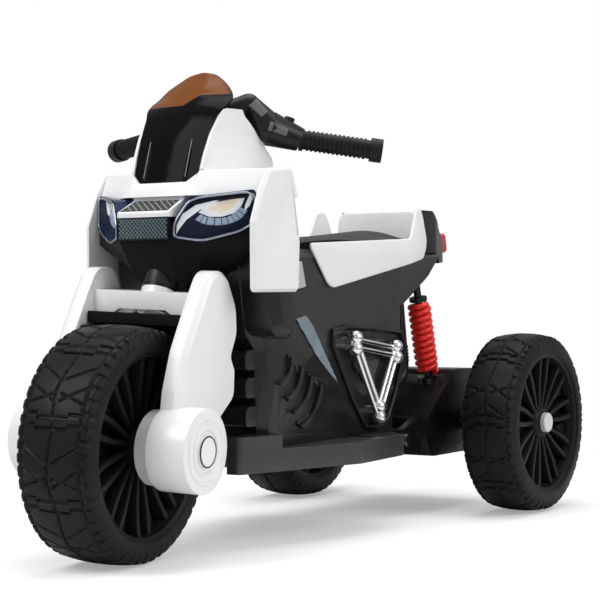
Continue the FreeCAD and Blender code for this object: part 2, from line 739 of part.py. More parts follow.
def make_head_bushes():
    inner = STEM_RADIUS + RUN_CLEARANCE
    rings = []
    for low, flange in ((HEAD_LOW, HEAD_LOW - HEAD_FLANGE), (HEAD_HIGH - HEAD_BUSH_LENGTH, HEAD_HIGH)):
        sleeve = cylinder(on_axis(low), AXIS, HEAD_BORE, HEAD_BUSH_LENGTH)
        collar = cylinder(on_axis(flange), AXIS, HEAD_RADIUS - 1, HEAD_FLANGE)
        rings.append(sleeve.fuse(collar).cut(cylinder(on_axis(0), AXIS, inner,
            STEM_HIGH)).removeSplitter())
    return Part.makeCompound(rings)


# Trim on the body sides

LOUVRES = 4
LOUVRE_WIDTH = 7.0
LOUVRE_PROUD = 6.0
TRIM_CORNERS = ((360.0, 230.0), (459.0, 216.0), (415.0, 142.0))
TRIM_X = 88.0
BALL_RADIUS = 9.5
TRIM_ROD_RADIUS = 3.2
TRIM_ROD_GAP = 5.0
FLASH_OUTLINE = [(240, 262), (262, 266, 6), (276, 254, 8), (334, 181), (290, 212)]
TAB_OUTLINE = [(246, 330), (253, 330), (262, 300), (245, 297)]
FLASH_WALL = 1.5
PIPE_RADIUS = 7.0
PIPE_RUN = ((BODY_REAR + 36, 280.0), (BODY_REAR + 50, 182.0), (470.0, 138.0))
PIPE_BEND = 22.0
PIPE_X = (34.0, 50.0)
PIPE_RIBS = 5


def make_louvres():
    bars = []
    for i in range(LOUVRES):
        top = V(BODY_HALF, aft(222 + 21.5 * i), 218 - 11.5 * i)
        low = V(BODY_HALF, aft(195 + 15 * i), 189 - 17.5 * i)
        middle = (top + low) * 0.5 + V(0, 9 + i, -2)
        step = V(0, LOUVRE_WIDTH, -LOUVRE_WIDTH / 2)
        edges = [Part.Arc(top, middle, low).toShape(), Part.LineSegment(low, low + step).toShape(),
                 Part.Arc(low + step, middle + step, top + step).toShape(), Part.LineSegment(top + step,
                     top).toShape()]
        bars.append(Part.Face(Part.Wire(edges)).extrude(V(LOUVRE_PROUD, 0, 0)))
    return Part.makeCompound(bars + [mirrored(bar) for bar in bars])


def make_engine_trim():
    corners = [V(TRIM_X, aft(a), z) for a, z in TRIM_CORNERS]
    pieces = []
    for i in range(3):
        here = corners[i]
        there = corners[(i + 1) % 3]
        side = X_AXIS.cross(there - here).normalize() * TRIM_ROD_GAP
        pieces.append(rod(here + side, there + side, TRIM_ROD_RADIUS))
        pieces.append(rod(here - side, there - side, TRIM_ROD_RADIUS))
        out = V(0, 0, BALL_RADIUS * 0.7)
        pieces.append(Part.makeSphere(BALL_RADIUS, here + out))
        pieces.append(Part.makeSphere(BALL_RADIUS, here - out))
        pieces.append(cylinder(V(BODY_HALF, here.y, here.z), X_AXIS, BALL_RADIUS, TRIM_X - BODY_HALF))
    outside = box(V(BODY_HALF, aft(0), 0), V(2 * BODY_HALF, aft(600), 400))
    return fuse(pieces).common(outside)


def make_flash_trims():
    flash = prism_x(FLASH_OUTLINE, BODY_HALF, BODY_HALF + FLASH_WALL)
    tab = prism_x(TAB_OUTLINE, BODY_HALF, BODY_HALF + FLASH_WALL)
    return Part.makeCompound([flash, tab, mirrored(flash), mirrored(tab)])


def bent_pipe(x):
    high, corner, low = [V(x, aft(a), z) for a, z in PIPE_RUN]
    up = (high - corner).normalize()
    down = (low - corner).normalize()
    half = up.getAngle(down) / 2
    reach = PIPE_BEND / math.tan(half)
    centre = corner + (up + down).normalize() * (PIPE_BEND / math.sin(half))
    mid = centre + (corner - centre).normalize() * PIPE_BEND
    path = Part.Wire([Part.LineSegment(high, corner + up * reach).toShape(),
                      Part.Arc(corner + up * reach, mid, corner + down * reach).toShape(),
                      Part.LineSegment(corner + down * reach, low).toShape()])
    section = Part.Wire(Part.makeCircle(PIPE_RADIUS, high, up))
    pipe = path.makePipeShell([section], True, False)
    ribs = []
    for i in range(PIPE_RIBS):
        foot = corner + up * (reach + 3 + 4.5 * i)
        ribs.append(cylinder(foot, up, PIPE_RADIUS + 1.2, 2.2))
    return fuse([pipe] + ribs)


def make_exhaust_pipes(chassis):
    pipes = [largest(bent_pipe(x).cut(chassis)) for x in PIPE_X]
    return Part.makeCompound(pipes + [mirrored(pipe) for pipe in pipes])


# Footboards and pedal

BOARD_PLAN = [(SPINE_HALF, FOOT_FRONT), (76, FOOT_FRONT, 8), (128, 306, 16), (118, 430, 12),
    (SPINE_HALF, FOOT_REAR)]
BLOCK_PLAN = [(SPINE_HALF, FOOT_FRONT), (76, FOOT_FRONT, 8), (95, 192, 6), (SPINE_HALF, FOOT_BLOCK_REAR)]
BOARD_RIBS = 7
PEDAL_X = 98.0
PEDAL_HEEL = 372.0
PIN_Z = FOOT_TOP - PEDAL_WALL / 2


def make_footboard():
    board = prism_z(BOARD_PLAN, BODY_BOTTOM, FOOT_TOP)
    block = prism_z(BLOCK_PLAN, BODY_BOTTOM, FOOT_BLOCK_TOP)
    lining = rounded_wire(BOARD_PLAN, lambda x, a: V(x, aft(a), BODY_BOTTOM)).makeOffset2D(-WALL)
    hollow = Part.Face(lining).extrude(V(0, 0, (FOOT_TOP - BODY_BOTTOM) / 2))
    ribs = []
    for i in range(BOARD_RIBS):
        low = V(BODY_HALF + 4, aft(366 + 9 * i), FOOT_TOP - 1)
        ribs.append(box(low, low + V(26, 4, 3)))
    return fuse([board, block] + ribs).cut(hollow)


def pedal_well():
    half = PEDAL_WIDTH / 2 + 1
    rear = PEDAL_HEEL + PEDAL_WALL
    low = V(-PEDAL_X - half, aft(PEDAL_HEEL - PEDAL_LENGTH - 2), FOOT_TOP - PEDAL_WALL - 3)
    well = box(low, V(-PEDAL_X + half, aft(rear), FOOT_TOP + 20))
    pin = cylinder(V(-PEDAL_X - half - 4, aft(PEDAL_HEEL), PIN_Z), X_AXIS, PIN_RADIUS + SLIDE_CLEARANCE,
        2 * half + 8)
    return well.fuse(pin)


def make_pedal():
    half = PEDAL_WIDTH / 2
    heel = V(-PEDAL_X - half, aft(PEDAL_HEEL), PIN_Z)
    low = heel + V(0, -PEDAL_LENGTH, -PEDAL_WALL / 2)
    plate = box(low, heel + V(PEDAL_WIDTH, 0, PEDAL_WALL / 2))
    ribs = [box(low + V(4, 8 + 10 * i, PEDAL_WALL), low + V(PEDAL_WIDTH - 4, 12 + 10 * i,
        PEDAL_WALL + 1.5)) for i in range(6)]
    round_heel = cylinder(heel, X_AXIS, PEDAL_WALL / 2, PEDAL_WIDTH)
    pin = cylinder(heel - X_AXIS * 4, X_AXIS, PIN_RADIUS, PEDAL_WIDTH + 8)
    pedal = fuse([plate, round_heel, pin] + ribs)
    lift = math.degrees(math.asin(PEDAL_LIFT / PEDAL_LENGTH))
    return pedal.rotated(heel, X_AXIS, -lift)


# Seat and tail

PANEL_OUTLINE = [(266, 352, 4), (314, 297, 24), (TAIL_END - 72, 336, 14), (TAIL_END - 58, 357, 20),
                 (TAIL_END - 72, 390, 20), (TAIL_END - 80, 402, 6), (TAIL_END - 96, 402, 8),
                 (TAIL_END - 116, 362, 10)]
PANEL_PLAN = [(BODY_HALF + PANEL_WALL, 255), (BODY_HALF + PANEL_WALL, BODY_REAR + 13),
              (TAIL_HALF + PANEL_WALL, TAIL_END - 23), (TAIL_HALF, TAIL_END - 23),
              (BODY_HALF, BODY_REAR + 13), (BODY_HALF, 255)]
BACK_REAR = TAIL_END - 55
BACK_FRONT = BACK_REAR - 8
BACK_TOP = 402.0
CAP_OUTLINE = [(BACK_REAR, BODY_TOP), (BACK_REAR, BACK_TOP, 4), (BACK_REAR + 34, BACK_TOP, 8),
               (BACK_REAR + 64, 377, 20), (BACK_REAR + 102, 354, 12), (BACK_REAR + 116, 344, 6),
               (BACK_REAR + 102, 334, 8), (TAIL_END + 5, 331, 4), (TAIL_END + 4, BODY_TOP)]
CAP_PLAN = [(TAIL_HALF - 4, BACK_REAR - 10), (TAIL_HALF - 4, BACK_REAR + 44, 30), (44, BACK_REAR + 98, 30),
            (20, BACK_REAR + 116, 10)]
CAP_PLAN = CAP_PLAN + [(-point[0], *point[1:]) for point in reversed(CAP_PLAN)]
LIGHT_HALF = 40.0
LIGHT_LOW = 347.0
LIGHT_HIGH = 374.0
LIGHT_FRONT = BACK_REAR + 62
LIGHT_REAR = BACK_REAR + 122
SEAT_SECTIONS = [(272, 58, 0.45, 0.1), (330, 70, 0.75, 0.15), (420, 70, 0.85, 0.45),
                 (BACK_FRONT - 46, 66, 0.95, 1.0), (BACK_FRONT - 4, 58, 0.9, 0.5)]


def make_tail_panel():
    side = prism_x(PANEL_OUTLINE, 20, 120)
    return side.common(prism_z(PANEL_PLAN, 250, 450))


def make_seat_back():
    half = TAIL_HALF + 2
    outline = [(-half, BODY_TOP), (half, BODY_TOP), (half - 6, BACK_TOP, 14), (6 - half, BACK_TOP, 14)]
    return prism_y(outline, BACK_FRONT, BACK_REAR)


def make_seat():
    # Moulded saddle with drawn-in edges, through cross sections of (aft, half width, edge share,
    # crown share).
    base = BODY_TOP + MOULD_GAP
    wires = []
    for a, half, edge, crown in SEAT_SECTIONS:
        y = aft(a)
        shoulder = base + SEAT_THICKNESS * edge
        top = shoulder + SEAT_CROWN * crown + 1
        low_right = V(-half + 3, y, base)
        low_left = V(half - 3, y, base)
        left = V(half, y, shoulder)
        right = V(-half, y, shoulder)
        wires.append(Part.Wire([Part.LineSegment(low_right, low_left).toShape(),
            Part.LineSegment(low_left, left).toShape(),
                                Part.Arc(left, V(0, y, top), right).toShape(), Part.LineSegment(right,
                                    low_right).toShape()]))
    return loft(wires)


def make_tail_cap():
    whole = prism_x(CAP_OUTLINE, -TAIL_HALF, TAIL_HALF).common(prism_z(CAP_PLAN, 250, 450))
    lining = rounded_wire(CAP_OUTLINE, lambda a, z: V(-TAIL_HALF, aft(a), z)).makeOffset2D(-WALL)
    space = Part.Face(lining).extrude(V(2 * TAIL_HALF, 0, 0))
    plan = rounded_wire(CAP_PLAN, lambda x, a: V(x, aft(a), 250)).makeOffset2D(-WALL)
    space = space.common(Part.Face(plan).extrude(V(0, 0, 200)))
    return whole.cut(space).cut(make_tail_light())


def make_tail_light():
    outline = [(-LIGHT_HALF, LIGHT_LOW, 6), (LIGHT_HALF, LIGHT_LOW, 6), (LIGHT_HALF - 4, LIGHT_HIGH, 6),
               (4 - LIGHT_HALF, LIGHT_HIGH, 6)]
    edge = LIGHT_HALF + 2
    plan = [(-edge, LIGHT_FRONT), (-edge, LIGHT_REAR - 6, 6), (-20, LIGHT_REAR, 10), (20, LIGHT_REAR, 10),
            (edge, LIGHT_REAR - 6, 6), (edge, LIGHT_FRONT)]
    return prism_y(outline, LIGHT_FRONT, LIGHT_REAR + 10).common(prism_z(plan, 300, 420))


# Rear axle housing, shocks and wheels

REAR_CENTRE = V(0, REAR_AXLE_Y, REAR_RADIUS)
REAR_HUB_HALF = 30.0
HUB_INNER = REAR_TRACK / 2 - REAR_HUB_HALF
HUB_OUTER = REAR_TRACK / 2 + REAR_HUB_HALF
AXLE_END = HUB_OUTER + 2
HOUSING_FLOOR = 75.0
HOUSING_OUTLINE = [(531, 104, 20), (544, HOUSING_FLOOR, 12), (704, HOUSING_FLOOR, 12), (718, 110, 16),
    (712, 160, 16),
                   (690, 186, 16), (612, 188, 16), (566, 152, 30), (537, 126, 14)]
COVER_FRONT = 556.0
COVER_REAR = 694.0
SPRING_FOOT = V(SPRING_X, aft(SPRING_FOOT_AFT), SPRING_FOOT_Z)
SPRING_TOP = V(SPRING_X, aft(SPRING_TOP_AFT), SPRING_TOP_Z)
SPRING_ALONG = (SPRING_TOP - SPRING_FOOT).normalize()
SPRING_SPAN = (SPRING_TOP - SPRING_FOOT).Length


def yz_turn(centre, distance, degrees):
    angle = math.radians(degrees)
    return centre + V(0, math.cos(angle), math.sin(angle)) * distance


SLOW_TURN = 170.0
FAST_TURN = 60.0
GEAR_CENTRE = yz_turn(REAR_CENTRE, SLOW_MODULE * (WHEEL_TEETH + SMALL_TEETH) / 2, SLOW_TURN)
PINION_CENTRE = yz_turn(GEAR_CENTRE, FAST_MODULE * (LARGE_TEETH + PINION_TEETH) / 2, FAST_TURN)
SLOW_X = WALL - HOUSING_HALF + GEAR_BOSS_LENGTH + GEAR_SIDE_GAP
FAST_X = SLOW_X + SLOW_FACE + 4
MOTOR_X = FAST_X + FAST_FACE + 4


def make_rear_wheel():
    return wheel(REAR_CENTRE + X_AXIS * (REAR_TRACK / 2), REAR_RADIUS, REAR_WIDTH, REAR_HUB_HALF,
        RUN_BORE)


def make_hub_cap():
    whole = cylinder(REAR_CENTRE + X_AXIS * HUB_OUTER, X_AXIS, HUB_CAP_RADIUS, HUB_CAP_LENGTH)
    rim = [e for e in whole.Edges if abs(e.CenterOfMass.x - HUB_OUTER - HUB_CAP_LENGTH) < 0.01]
    whole = whole.makeFillet(2.5, rim)
    return whole.cut(cylinder(REAR_CENTRE, X_AXIS, AXLE_RADIUS + 1, AXLE_END + 1))


def make_rear_axle():
    return cylinder(REAR_CENTRE - X_AXIS * AXLE_END, X_AXIS, AXLE_RADIUS, 2 * AXLE_END)


def make_axle_housing():
    block = prism_x(HOUSING_OUTLINE, -HOUSING_HALF, HOUSING_HALF)
    lining = rounded_wire(HOUSING_OUTLINE, lambda a, z: V(WALL - HOUSING_HALF, aft(a),
        z)).makeOffset2D(-WALL)
    space = Part.Face(lining).extrude(V(2 * (HOUSING_HALF - WALL), 0, 0))
    mouth = box(V(WALL - HOUSING_HALF, aft(COVER_FRONT), 0), V(HOUSING_HALF - WALL, aft(COVER_REAR),
        REAR_RADIUS))
    seats = both(cylinder(SPRING_FOOT, SPRING_ALONG, SEAT_RING_RADIUS + 1, SPRING_SPAN))
    pieces = [block.cut(space).cut(mouth).cut(seats)]
    eye = V(TONGUE_HALF + MOULD_GAP, aft(PIVOT_AFT), PIVOT_Z)
    bar = [(PIVOT_AFT, PIVOT_Z - ARM_EYE_RADIUS), (552, HOUSING_FLOOR + 3), (552, 132), (PIVOT_AFT,
        PIVOT_Z + ARM_EYE_RADIUS)]
    bar = prism_x(bar, eye.x, eye.x + ARM_WALL)
    arm = fuse([bar, cylinder(eye, X_AXIS, ARM_EYE_RADIUS, ARM_WALL)])
    arm = arm.cut(space)
    pad = cylinder(SPRING_FOOT - SPRING_ALONG * 16, SPRING_ALONG, SEAT_RING_RADIUS, 16)
    spigot = cylinder(SPRING_FOOT, SPRING_ALONG, SHOCK_ROD_RADIUS, SHOCK_ROD_LENGTH / 2)
    pad = fuse([pad, spigot])
    for piece in (arm, pad):
        pieces += [piece, mirrored(piece)]
    stub = HUB_INNER - MOULD_GAP - HOUSING_HALF + WALL
    pieces.append(cylinder(REAR_CENTRE + X_AXIS * (HOUSING_HALF - WALL), X_AXIS, SLEEVE_RADIUS, stub))
    wall_face = WALL - HOUSING_HALF
    pieces.append(cylinder(GEAR_CENTRE + X_AXIS * wall_face, X_AXIS, 2 * GEAR_PIN_RADIUS,
        GEAR_BOSS_LENGTH))
    pieces.append(cylinder(GEAR_CENTRE + X_AXIS * wall_face, X_AXIS, GEAR_PIN_RADIUS,
        FAST_X + FAST_FACE + 2 - wall_face))
    saddle = box(V(MOTOR_X + 8, PINION_CENTRE.y - 10, PINION_CENTRE.z), V(MOTOR_X + 40,
        PINION_CENTRE.y + 10, 188 - WALL))
    pieces.append(saddle)
    for x in (-20, 45):
        low = V(x, REAR_AXLE_Y - 12, REAR_RADIUS)
        pieces.append(box(low, low + V(8, 24, 188 - WALL - REAR_RADIUS)))
    whole = fuse(pieces)
    cuts = [cylinder(REAR_CENTRE - X_AXIS * AXLE_END, X_AXIS, AXLE_RADIUS, 2 * AXLE_END),
            cylinder(REAR_CENTRE - X_AXIS * AXLE_END, X_AXIS, SLEEVE_RADIUS + MOULD_GAP,
                AXLE_END - HOUSING_HALF + 2 * WALL),
            cylinder(V(-200, aft(PIVOT_AFT), PIVOT_Z), X_AXIS, PIVOT_RADIUS + RUN_CLEARANCE, 400),
            cylinder(PINION_CENTRE + X_AXIS * MOTOR_X, X_AXIS, MOTOR_RADIUS, MOTOR_LENGTH)]
    return whole.cut(Part.makeCompound(cuts))


def make_housing_cover():
    low = V(WALL - HOUSING_HALF, aft(COVER_FRONT), HOUSING_FLOOR)
    return box(low, V(HOUSING_HALF - WALL, aft(COVER_REAR), HOUSING_FLOOR + WALL))


def make_pivot_bolts():
    inner = TONGUE_HALF - 26
    head = TONGUE_HALF + 2 * MOULD_GAP + ARM_WALL
    start = V(inner, aft(PIVOT_AFT), PIVOT_Z)
    shank = cylinder(start, X_AXIS, PIVOT_RADIUS, head - inner)
    cap = cylinder(V(head, aft(PIVOT_AFT), PIVOT_Z), X_AXIS, 9, 5)
    return both(shank.fuse(cap).removeSplitter())


def make_shock_rods(chassis):
    collar = cylinder(SPRING_TOP, SPRING_ALONG, SEAT_RING_RADIUS - 3, SEAT_RING_LENGTH)
    stub = cylinder(SPRING_TOP - SPRING_ALONG * SHOCK_ROD_LENGTH, SPRING_ALONG, SHOCK_ROD_RADIUS,
        SHOCK_ROD_LENGTH + SHOCK_ROD_REACH)
    return largest(fuse([collar, stub]).cut(chassis))


# Coil springs: one tube on paired arcs, a quarter turn at a time, with straight ends

def helix_point(turn):
    end_drop = 2 * WIRE_RADIUS * SPRING_SPAN / COIL_TURNS / (2 * math.pi * COIL_RADIUS)
    low = WIRE_RADIUS + MOULD_GAP + end_drop
    pitch = (SPRING_SPAN - 2 * low) / COIL_TURNS
    across = X_AXIS.cross(SPRING_ALONG)
    angle = 2 * math.pi * turn
    radial = X_AXIS * math.cos(angle) + across * -math.sin(angle)
    around = X_AXIS * -math.sin(angle) + across * -math.cos(angle)
    tangent = around * (2 * math.pi * COIL_RADIUS) + SPRING_ALONG * pitch
    return SPRING_FOOT + SPRING_ALONG * (low + pitch * turn) + radial * COIL_RADIUS, tangent.normalize()


def arc_between(start, corner, end):
    reach = (corner - start).Length
    half = (start - corner).getAngle(end - corner) / 2
    inward = ((start + end) * 0.5 - corner).normalize()
    return Part.Arc(start, corner + inward * (reach / math.cos(half) - reach * math.tan(half)),
        end).toShape()


def paired_arcs(start, start_along, end, end_along):
    gap = end - start
    spread = 2 * (1 - start_along.dot(end_along))
    lean = gap.dot(start_along + end_along)
    reach = (math.sqrt(lean * lean + 2 * spread * gap.dot(gap)) - lean) / (2 * spread)
    first = start + start_along * reach
    second = end - end_along * reach
    middle = (first + second) * 0.5
    return [arc_between(start, first, middle), arc_between(middle, second, end)]


def make_spring():
    steps = 4 * COIL_TURNS
    knots = [helix_point(i / 4) for i in range(steps + 1)]
    straight = 2 * WIRE_RADIUS
    edges = [Part.LineSegment(knots[0][0] - knots[0][1] * straight, knots[0][0]).toShape()]
    for i in range(steps):
        edges += paired_arcs(*knots[i], *knots[i + 1])
    edges.append(Part.LineSegment(knots[-1][0], knots[-1][0] + knots[-1][1] * straight).toShape())
    path = Part.Wire(edges)
    section = Part.Wire(Part.makeCircle(WIRE_RADIUS, knots[0][0] - knots[0][1] * straight, knots[0][1]))
    print("spring gap to itself", round(spring_self_gap(), 2))
    return path.makePipeShell([section], True, False)


def spring_self_gap():
    per_turn = 24
    points = [helix_point(i / per_turn)[0] for i in range(per_turn * COIL_TURNS + 1)]
    least = SPRING_SPAN
    for i, here in enumerate(points):
        for there in points[i + per_turn // 2:]:
            least = min(least, (there - here).Length)
    return least - 2 * WIRE_RADIUS


# Gear train

def involute(angle):
    return math.tan(angle) - angle


def gear(centre, x, face, teeth, module, turn):
    pitch_radius = module * teeth / 2
    base = pitch_radius * math.cos(math.radians(20))
    tip = pitch_radius + 0.85 * module
    root = pitch_radius - 1.25 * module
    half = math.pi / (2 * teeth) - BACKLASH / (4 * pitch_radius)
    start = max(base, root)
    flank = []
    for share in (0.0, 0.4, 1.0):
        radius = start + (tip - start) * share
        lean = involute(math.acos(min(1.0, base / radius)))
        flank.append((radius, half + involute(math.radians(20)) - lean))
    side = [(root, flank[0][1])] + flank
    spots = []
    for i in range(teeth):
        middle = math.radians(turn) + 2 * math.pi * i / teeth
        for radius, spread in side:
            spots.append((radius, middle - spread))
        for radius, spread in reversed(side):
            spots.append((radius, middle + spread))
    points = [centre + V(x, r * math.cos(t), r * math.sin(t)) for r, t in spots]
    return Part.Face(Part.makePolygon(points + points[:1])).extrude(V(face, 0, 0))


def make_wheel_gear():
    teeth = gear(REAR_CENTRE, SLOW_X, SLOW_FACE, WHEEL_TEETH, SLOW_MODULE, SLOW_TURN)
    sleeve = cylinder(REAR_CENTRE - X_AXIS * HUB_INNER, X_AXIS, SLEEVE_RADIUS,
        HUB_INNER + SLOW_X + SLOW_FACE)
    return teeth.fuse(sleeve).cut(cylinder(REAR_CENTRE - X_AXIS * HUB_INNER, X_AXIS, RUN_BORE,
        HUB_INNER)).removeSplitter()


def make_reduction_gear():
    small = gear(GEAR_CENTRE, SLOW_X, SLOW_FACE + 4, SMALL_TEETH, SLOW_MODULE,
        SLOW_TURN + 180 + 180 / SMALL_TEETH)
    large = gear(GEAR_CENTRE, FAST_X, FAST_FACE, LARGE_TEETH, FAST_MODULE, FAST_TURN)
    bore = cylinder(GEAR_CENTRE + X_AXIS * SLOW_X, X_AXIS, GEAR_PIN_RADIUS + RUN_CLEARANCE, 60)
    return small.fuse(large).cut(bore).removeSplitter()


def make_pinion():
    body = gear(PINION_CENTRE, FAST_X, FAST_FACE, PINION_TEETH, FAST_MODULE,
        FAST_TURN + 180 + 180 / PINION_TEETH)
    return body.cut(cylinder(PINION_CENTRE + X_AXIS * FAST_X, X_AXIS,
        MOTOR_SHAFT_RADIUS + RUN_CLEARANCE, FAST_FACE))


def make_motor():
    can = cylinder(PINION_CENTRE + X_AXIS * MOTOR_X, X_AXIS, MOTOR_RADIUS, MOTOR_LENGTH)
    shaft = cylinder(PINION_CENTRE + X_AXIS * (FAST_X - 1), X_AXIS, MOTOR_SHAFT_RADIUS,
        MOTOR_X - FAST_X + 1)
    return can.fuse(shaft).removeSplitter()


# Electrics inside the body

BATTERY_LOW = (-35, 224, BODY_BOTTOM + WALL)
BATTERY_HIGH = (35, 314, 186)
CONTROL_LOW = (-30, 340, BODY_BOTTOM + WALL)
CONTROL_HIGH = (30, 410, 128)
HARNESS = ((0, 362, 126), (0, 362, 190), (0, 330, 250), (0, 262, 300), (0, 240, 330))
HARNESS_RADIUS = 4.0
SWITCH_X = 24.0
SWITCH_AFT = 238.0
ROCKER_HEIGHT = 9.0
ROCKER_PIN = 1.4
SOCKET_AFT = 300.0
SOCKET_Z = 268.0
SOCKET_BEZEL = 9.0


def make_battery():
    case = box(spot(BATTERY_LOW), spot(BATTERY_HIGH))
    terminals = []
    for x in (-18, 18):
        low = V(x - 3, aft(BATTERY_LOW[1] + 12), BATTERY_HIGH[2])
        terminals.append(box(low, low + V(6, 2, 8)))
    return fuse([case] + terminals)


def make_control_box():
    case = box(spot(CONTROL_LOW), spot(CONTROL_HIGH))
    upright = [e for e in case.Edges if abs(e.Vertexes[0].Z - e.Vertexes[-1].Z) > 5]
    return case.makeFillet(6, upright).cut(make_harness())


def make_harness():
    points = [spot(p) for p in HARNESS]
    edges = []
    start = points[0]
    for i in range(1, len(points) - 1):
        back = (points[i - 1] - points[i]).normalize()
        ahead = (points[i + 1] - points[i]).normalize()
        half = back.getAngle(ahead) / 2
        shorter = min((points[i - 1] - points[i]).Length, (points[i + 1] - points[i]).Length)
        reach = 0.45 * shorter
        edges.append(Part.LineSegment(start, points[i] + back * reach).toShape())
        edges.append(arc_between(points[i] + back * reach, points[i], points[i] + ahead * reach))
        start = points[i] + ahead * reach
        print("harness bend radius", round(reach * math.tan(half), 1))
    edges.append(Part.LineSegment(start, points[-1]).toShape())
    section = Part.Wire(Part.makeCircle(HARNESS_RADIUS, points[0], points[1] - points[0]))
    return Part.Wire(edges).makePipeShell([section], True, False)


def rocker_room(x):
    half_x = ROCKER_WIDTH / 2 + MOULD_GAP
    half_y = ROCKER_LENGTH / 2 + 4 * MOULD_GAP
    middle = V(x, aft(SWITCH_AFT), BODY_TOP - WALL / 2)
    opening = box(middle - V(half_x, half_y, WALL), middle + V(half_x, half_y, WALL))
    pin = cylinder(middle - X_AXIS * (half_x + 2), X_AXIS, ROCKER_PIN + SLIDE_CLEARANCE, 2 * half_x + 4)
    return opening.fuse(pin)


def make_rocker(x):
    half_x = ROCKER_WIDTH / 2
    middle = V(x, aft(SWITCH_AFT), BODY_TOP - WALL / 2)
    half_y = ROCKER_LENGTH / 2
    top = ROCKER_HEIGHT / 2
    outline = [(-half_y, -top, 1), (half_y, -top, 1), (half_y, top, 1.5), (0, top - 2), (-half_y, top,
        1.5)]
    body = prism(outline, lambda a, z: middle + V(-half_x, a, z), X_AXIS * ROCKER_WIDTH)
    pin = cylinder(middle - X_AXIS * (half_x + 2), X_AXIS, ROCKER_PIN, ROCKER_WIDTH + 4)
    return body.fuse(pin).removeSplitter()


def socket_start():
    return V(-BODY_HALF, aft(SOCKET_AFT), SOCKET_Z)


def make_charge_socket():
    flange = cylinder(socket_start() - X_AXIS * 2, X_AXIS, SOCKET_BEZEL + 2, 2)
    barrel = cylinder(socket_start(), X_AXIS, SOCKET_BEZEL, SOCKET_DEPTH + 2)
    bore = cylinder(socket_start() - X_AXIS * 2, X_AXIS, SOCKET_RADIUS, SOCKET_DEPTH)
    return flange.fuse(barrel).cut(bore).removeSplitter()


# Assembly: mouldings are relieved where their neighbours seat in them

def build():
    nodes = {}
    chassis = make_chassis_half()
    chassis_left = chassis.cut(rocker_room(SWITCH_X))
    socket_hole = cylinder(socket_start(), X_AXIS, SOCKET_BEZEL, SOCKET_DEPTH + 2)
    chassis_right = mirrored(chassis).cut(rocker_room(-SWITCH_X)).cut(socket_hole)
    louvres = make_louvres()
    nodes["chassis_left"] = fuse([chassis_left] + louvres.Solids[:LOUVRES])
    nodes["chassis_right"] = fuse([chassis_right] + louvres.Solids[LOUVRES:])
    nodes["head_bushes"] = make_head_bushes()

    lamps = both(lamp_block())
    lenses = both(make_lamp_lens())
    screen = make_windscreen()
    fairing = make_side_fairing().cut(lenses)
    nodes["side_fairings"] = both(fairing)
    ahead = screen_front()
    nose = make_nose_cowl().cut(lamps).cut(lenses).cut(screen).cut(ahead)
    nodes["nose_cowl"] = largest(nose.cut(nodes["side_fairings"]))
    nodes["screen_cheeks"] = both(largest(clear_of_arms(make_cheek().cut(screen).cut(ahead))))
    nodes["windscreen"] = screen
    nodes["dash_panel"] = make_dash().cut(nodes["nose_cowl"])
    nodes["headlight_bowls"] = both(make_lamp_bowl())
    nodes["headlight_lenses"] = lenses
    nodes["headlight_leds"] = both(make_led())
    nodes["nose_grilles"] = Part.makeCompound([make_grille(), make_vent()])
    nodes["chin_cowl"] = largest(make_chin().cut(lamps).cut(lenses).cut(chassis).cut(mirrored(chassis)))

    nodes["engine_trims"] = both(make_engine_trim())
    nodes["flash_trims"] = make_flash_trims()
    nodes["exhaust_pipes"] = make_exhaust_pipes(chassis)
    footboard = make_footboard()
    nodes["footboard_left"] = footboard
    nodes["footboard_right"] = mirrored(footboard).cut(pedal_well())
    nodes["accelerator_pedal"] = make_pedal()
    nodes["power_switch"] = make_rocker(SWITCH_X)
    nodes["direction_switch"] = make_rocker(-SWITCH_X)
    nodes["charge_socket"] = make_charge_socket()

    nodes["seat"] = make_seat()
    nodes["seat_back"] = make_seat_back()
    nodes["tail_panels"] = both(make_tail_panel().cut(chassis))
    nodes["tail_cap"] = make_tail_cap().cut(chassis).cut(mirrored(chassis))
    nodes["tail_light"] = make_tail_light()

    nodes["axle_housing"] = make_axle_housing()
    nodes["housing_cover"] = make_housing_cover()
    nodes["rear_axle"] = make_rear_axle()
    nodes["rear_wheel_left"] = make_rear_wheel()
    nodes["rear_wheel_right"] = mirrored(make_rear_wheel())
    nodes["hub_cap_left"] = make_hub_cap()
    nodes["hub_cap_right"] = mirrored(make_hub_cap())
    nodes["pivot_bolts"] = make_pivot_bolts()
    nodes["shock_rods"] = both(make_shock_rods(chassis))
    nodes["shock_springs"] = both(make_spring())
    nodes["wheel_gear"] = make_wheel_gear()
    nodes["reduction_gear"] = make_reduction_gear()
    nodes["motor_pinion"] = make_pinion()
    nodes["drive_motor"] = make_motor()
    nodes["battery"] = make_battery()
    nodes["control_box"] = make_control_box()
    nodes["wiring_harness"] = make_harness()

    crown = make_fork_crown()
    front = {
        "front_wheel": make_front_wheel(),
        "front_wheel_bushes": make_front_bushes(),
        "front_axle": make_front_axle(),
        "front_axle_nuts": make_front_nuts(),
        "fork_leg_left": make_fork_leg(),
        "fork_leg_right": mirrored(make_fork_leg()),
        "fork_crown": crown,
        "fork_spacers": make_fork_spacers(),
        "fork_axle_caps": make_axle_caps(),
        "front_mudguard": make_mudguard(crown),
        "steering_stem": make_stem(),
        "handlebar": make_handlebar(),
        "grip_left": make_grip(),
        "grip_right": mirrored(make_grip()),
        "horn_button": make_button(),
        "music_button": mirrored(make_button()),
    }
    for name, shape in front.items():
        nodes[name] = steered(shape)
    return nodes


os.makedirs("parts", exist_ok=True)
for node, shape in build().items():
    shape.exportStep("parts/" + node + ".step")
    print(node, len(shape.Solids), "solids", round(shape.Volume / 1000, 1), "cm3", shape.isValid())
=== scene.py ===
import json
import math

import bpy
from mathutils import Matrix, Vector

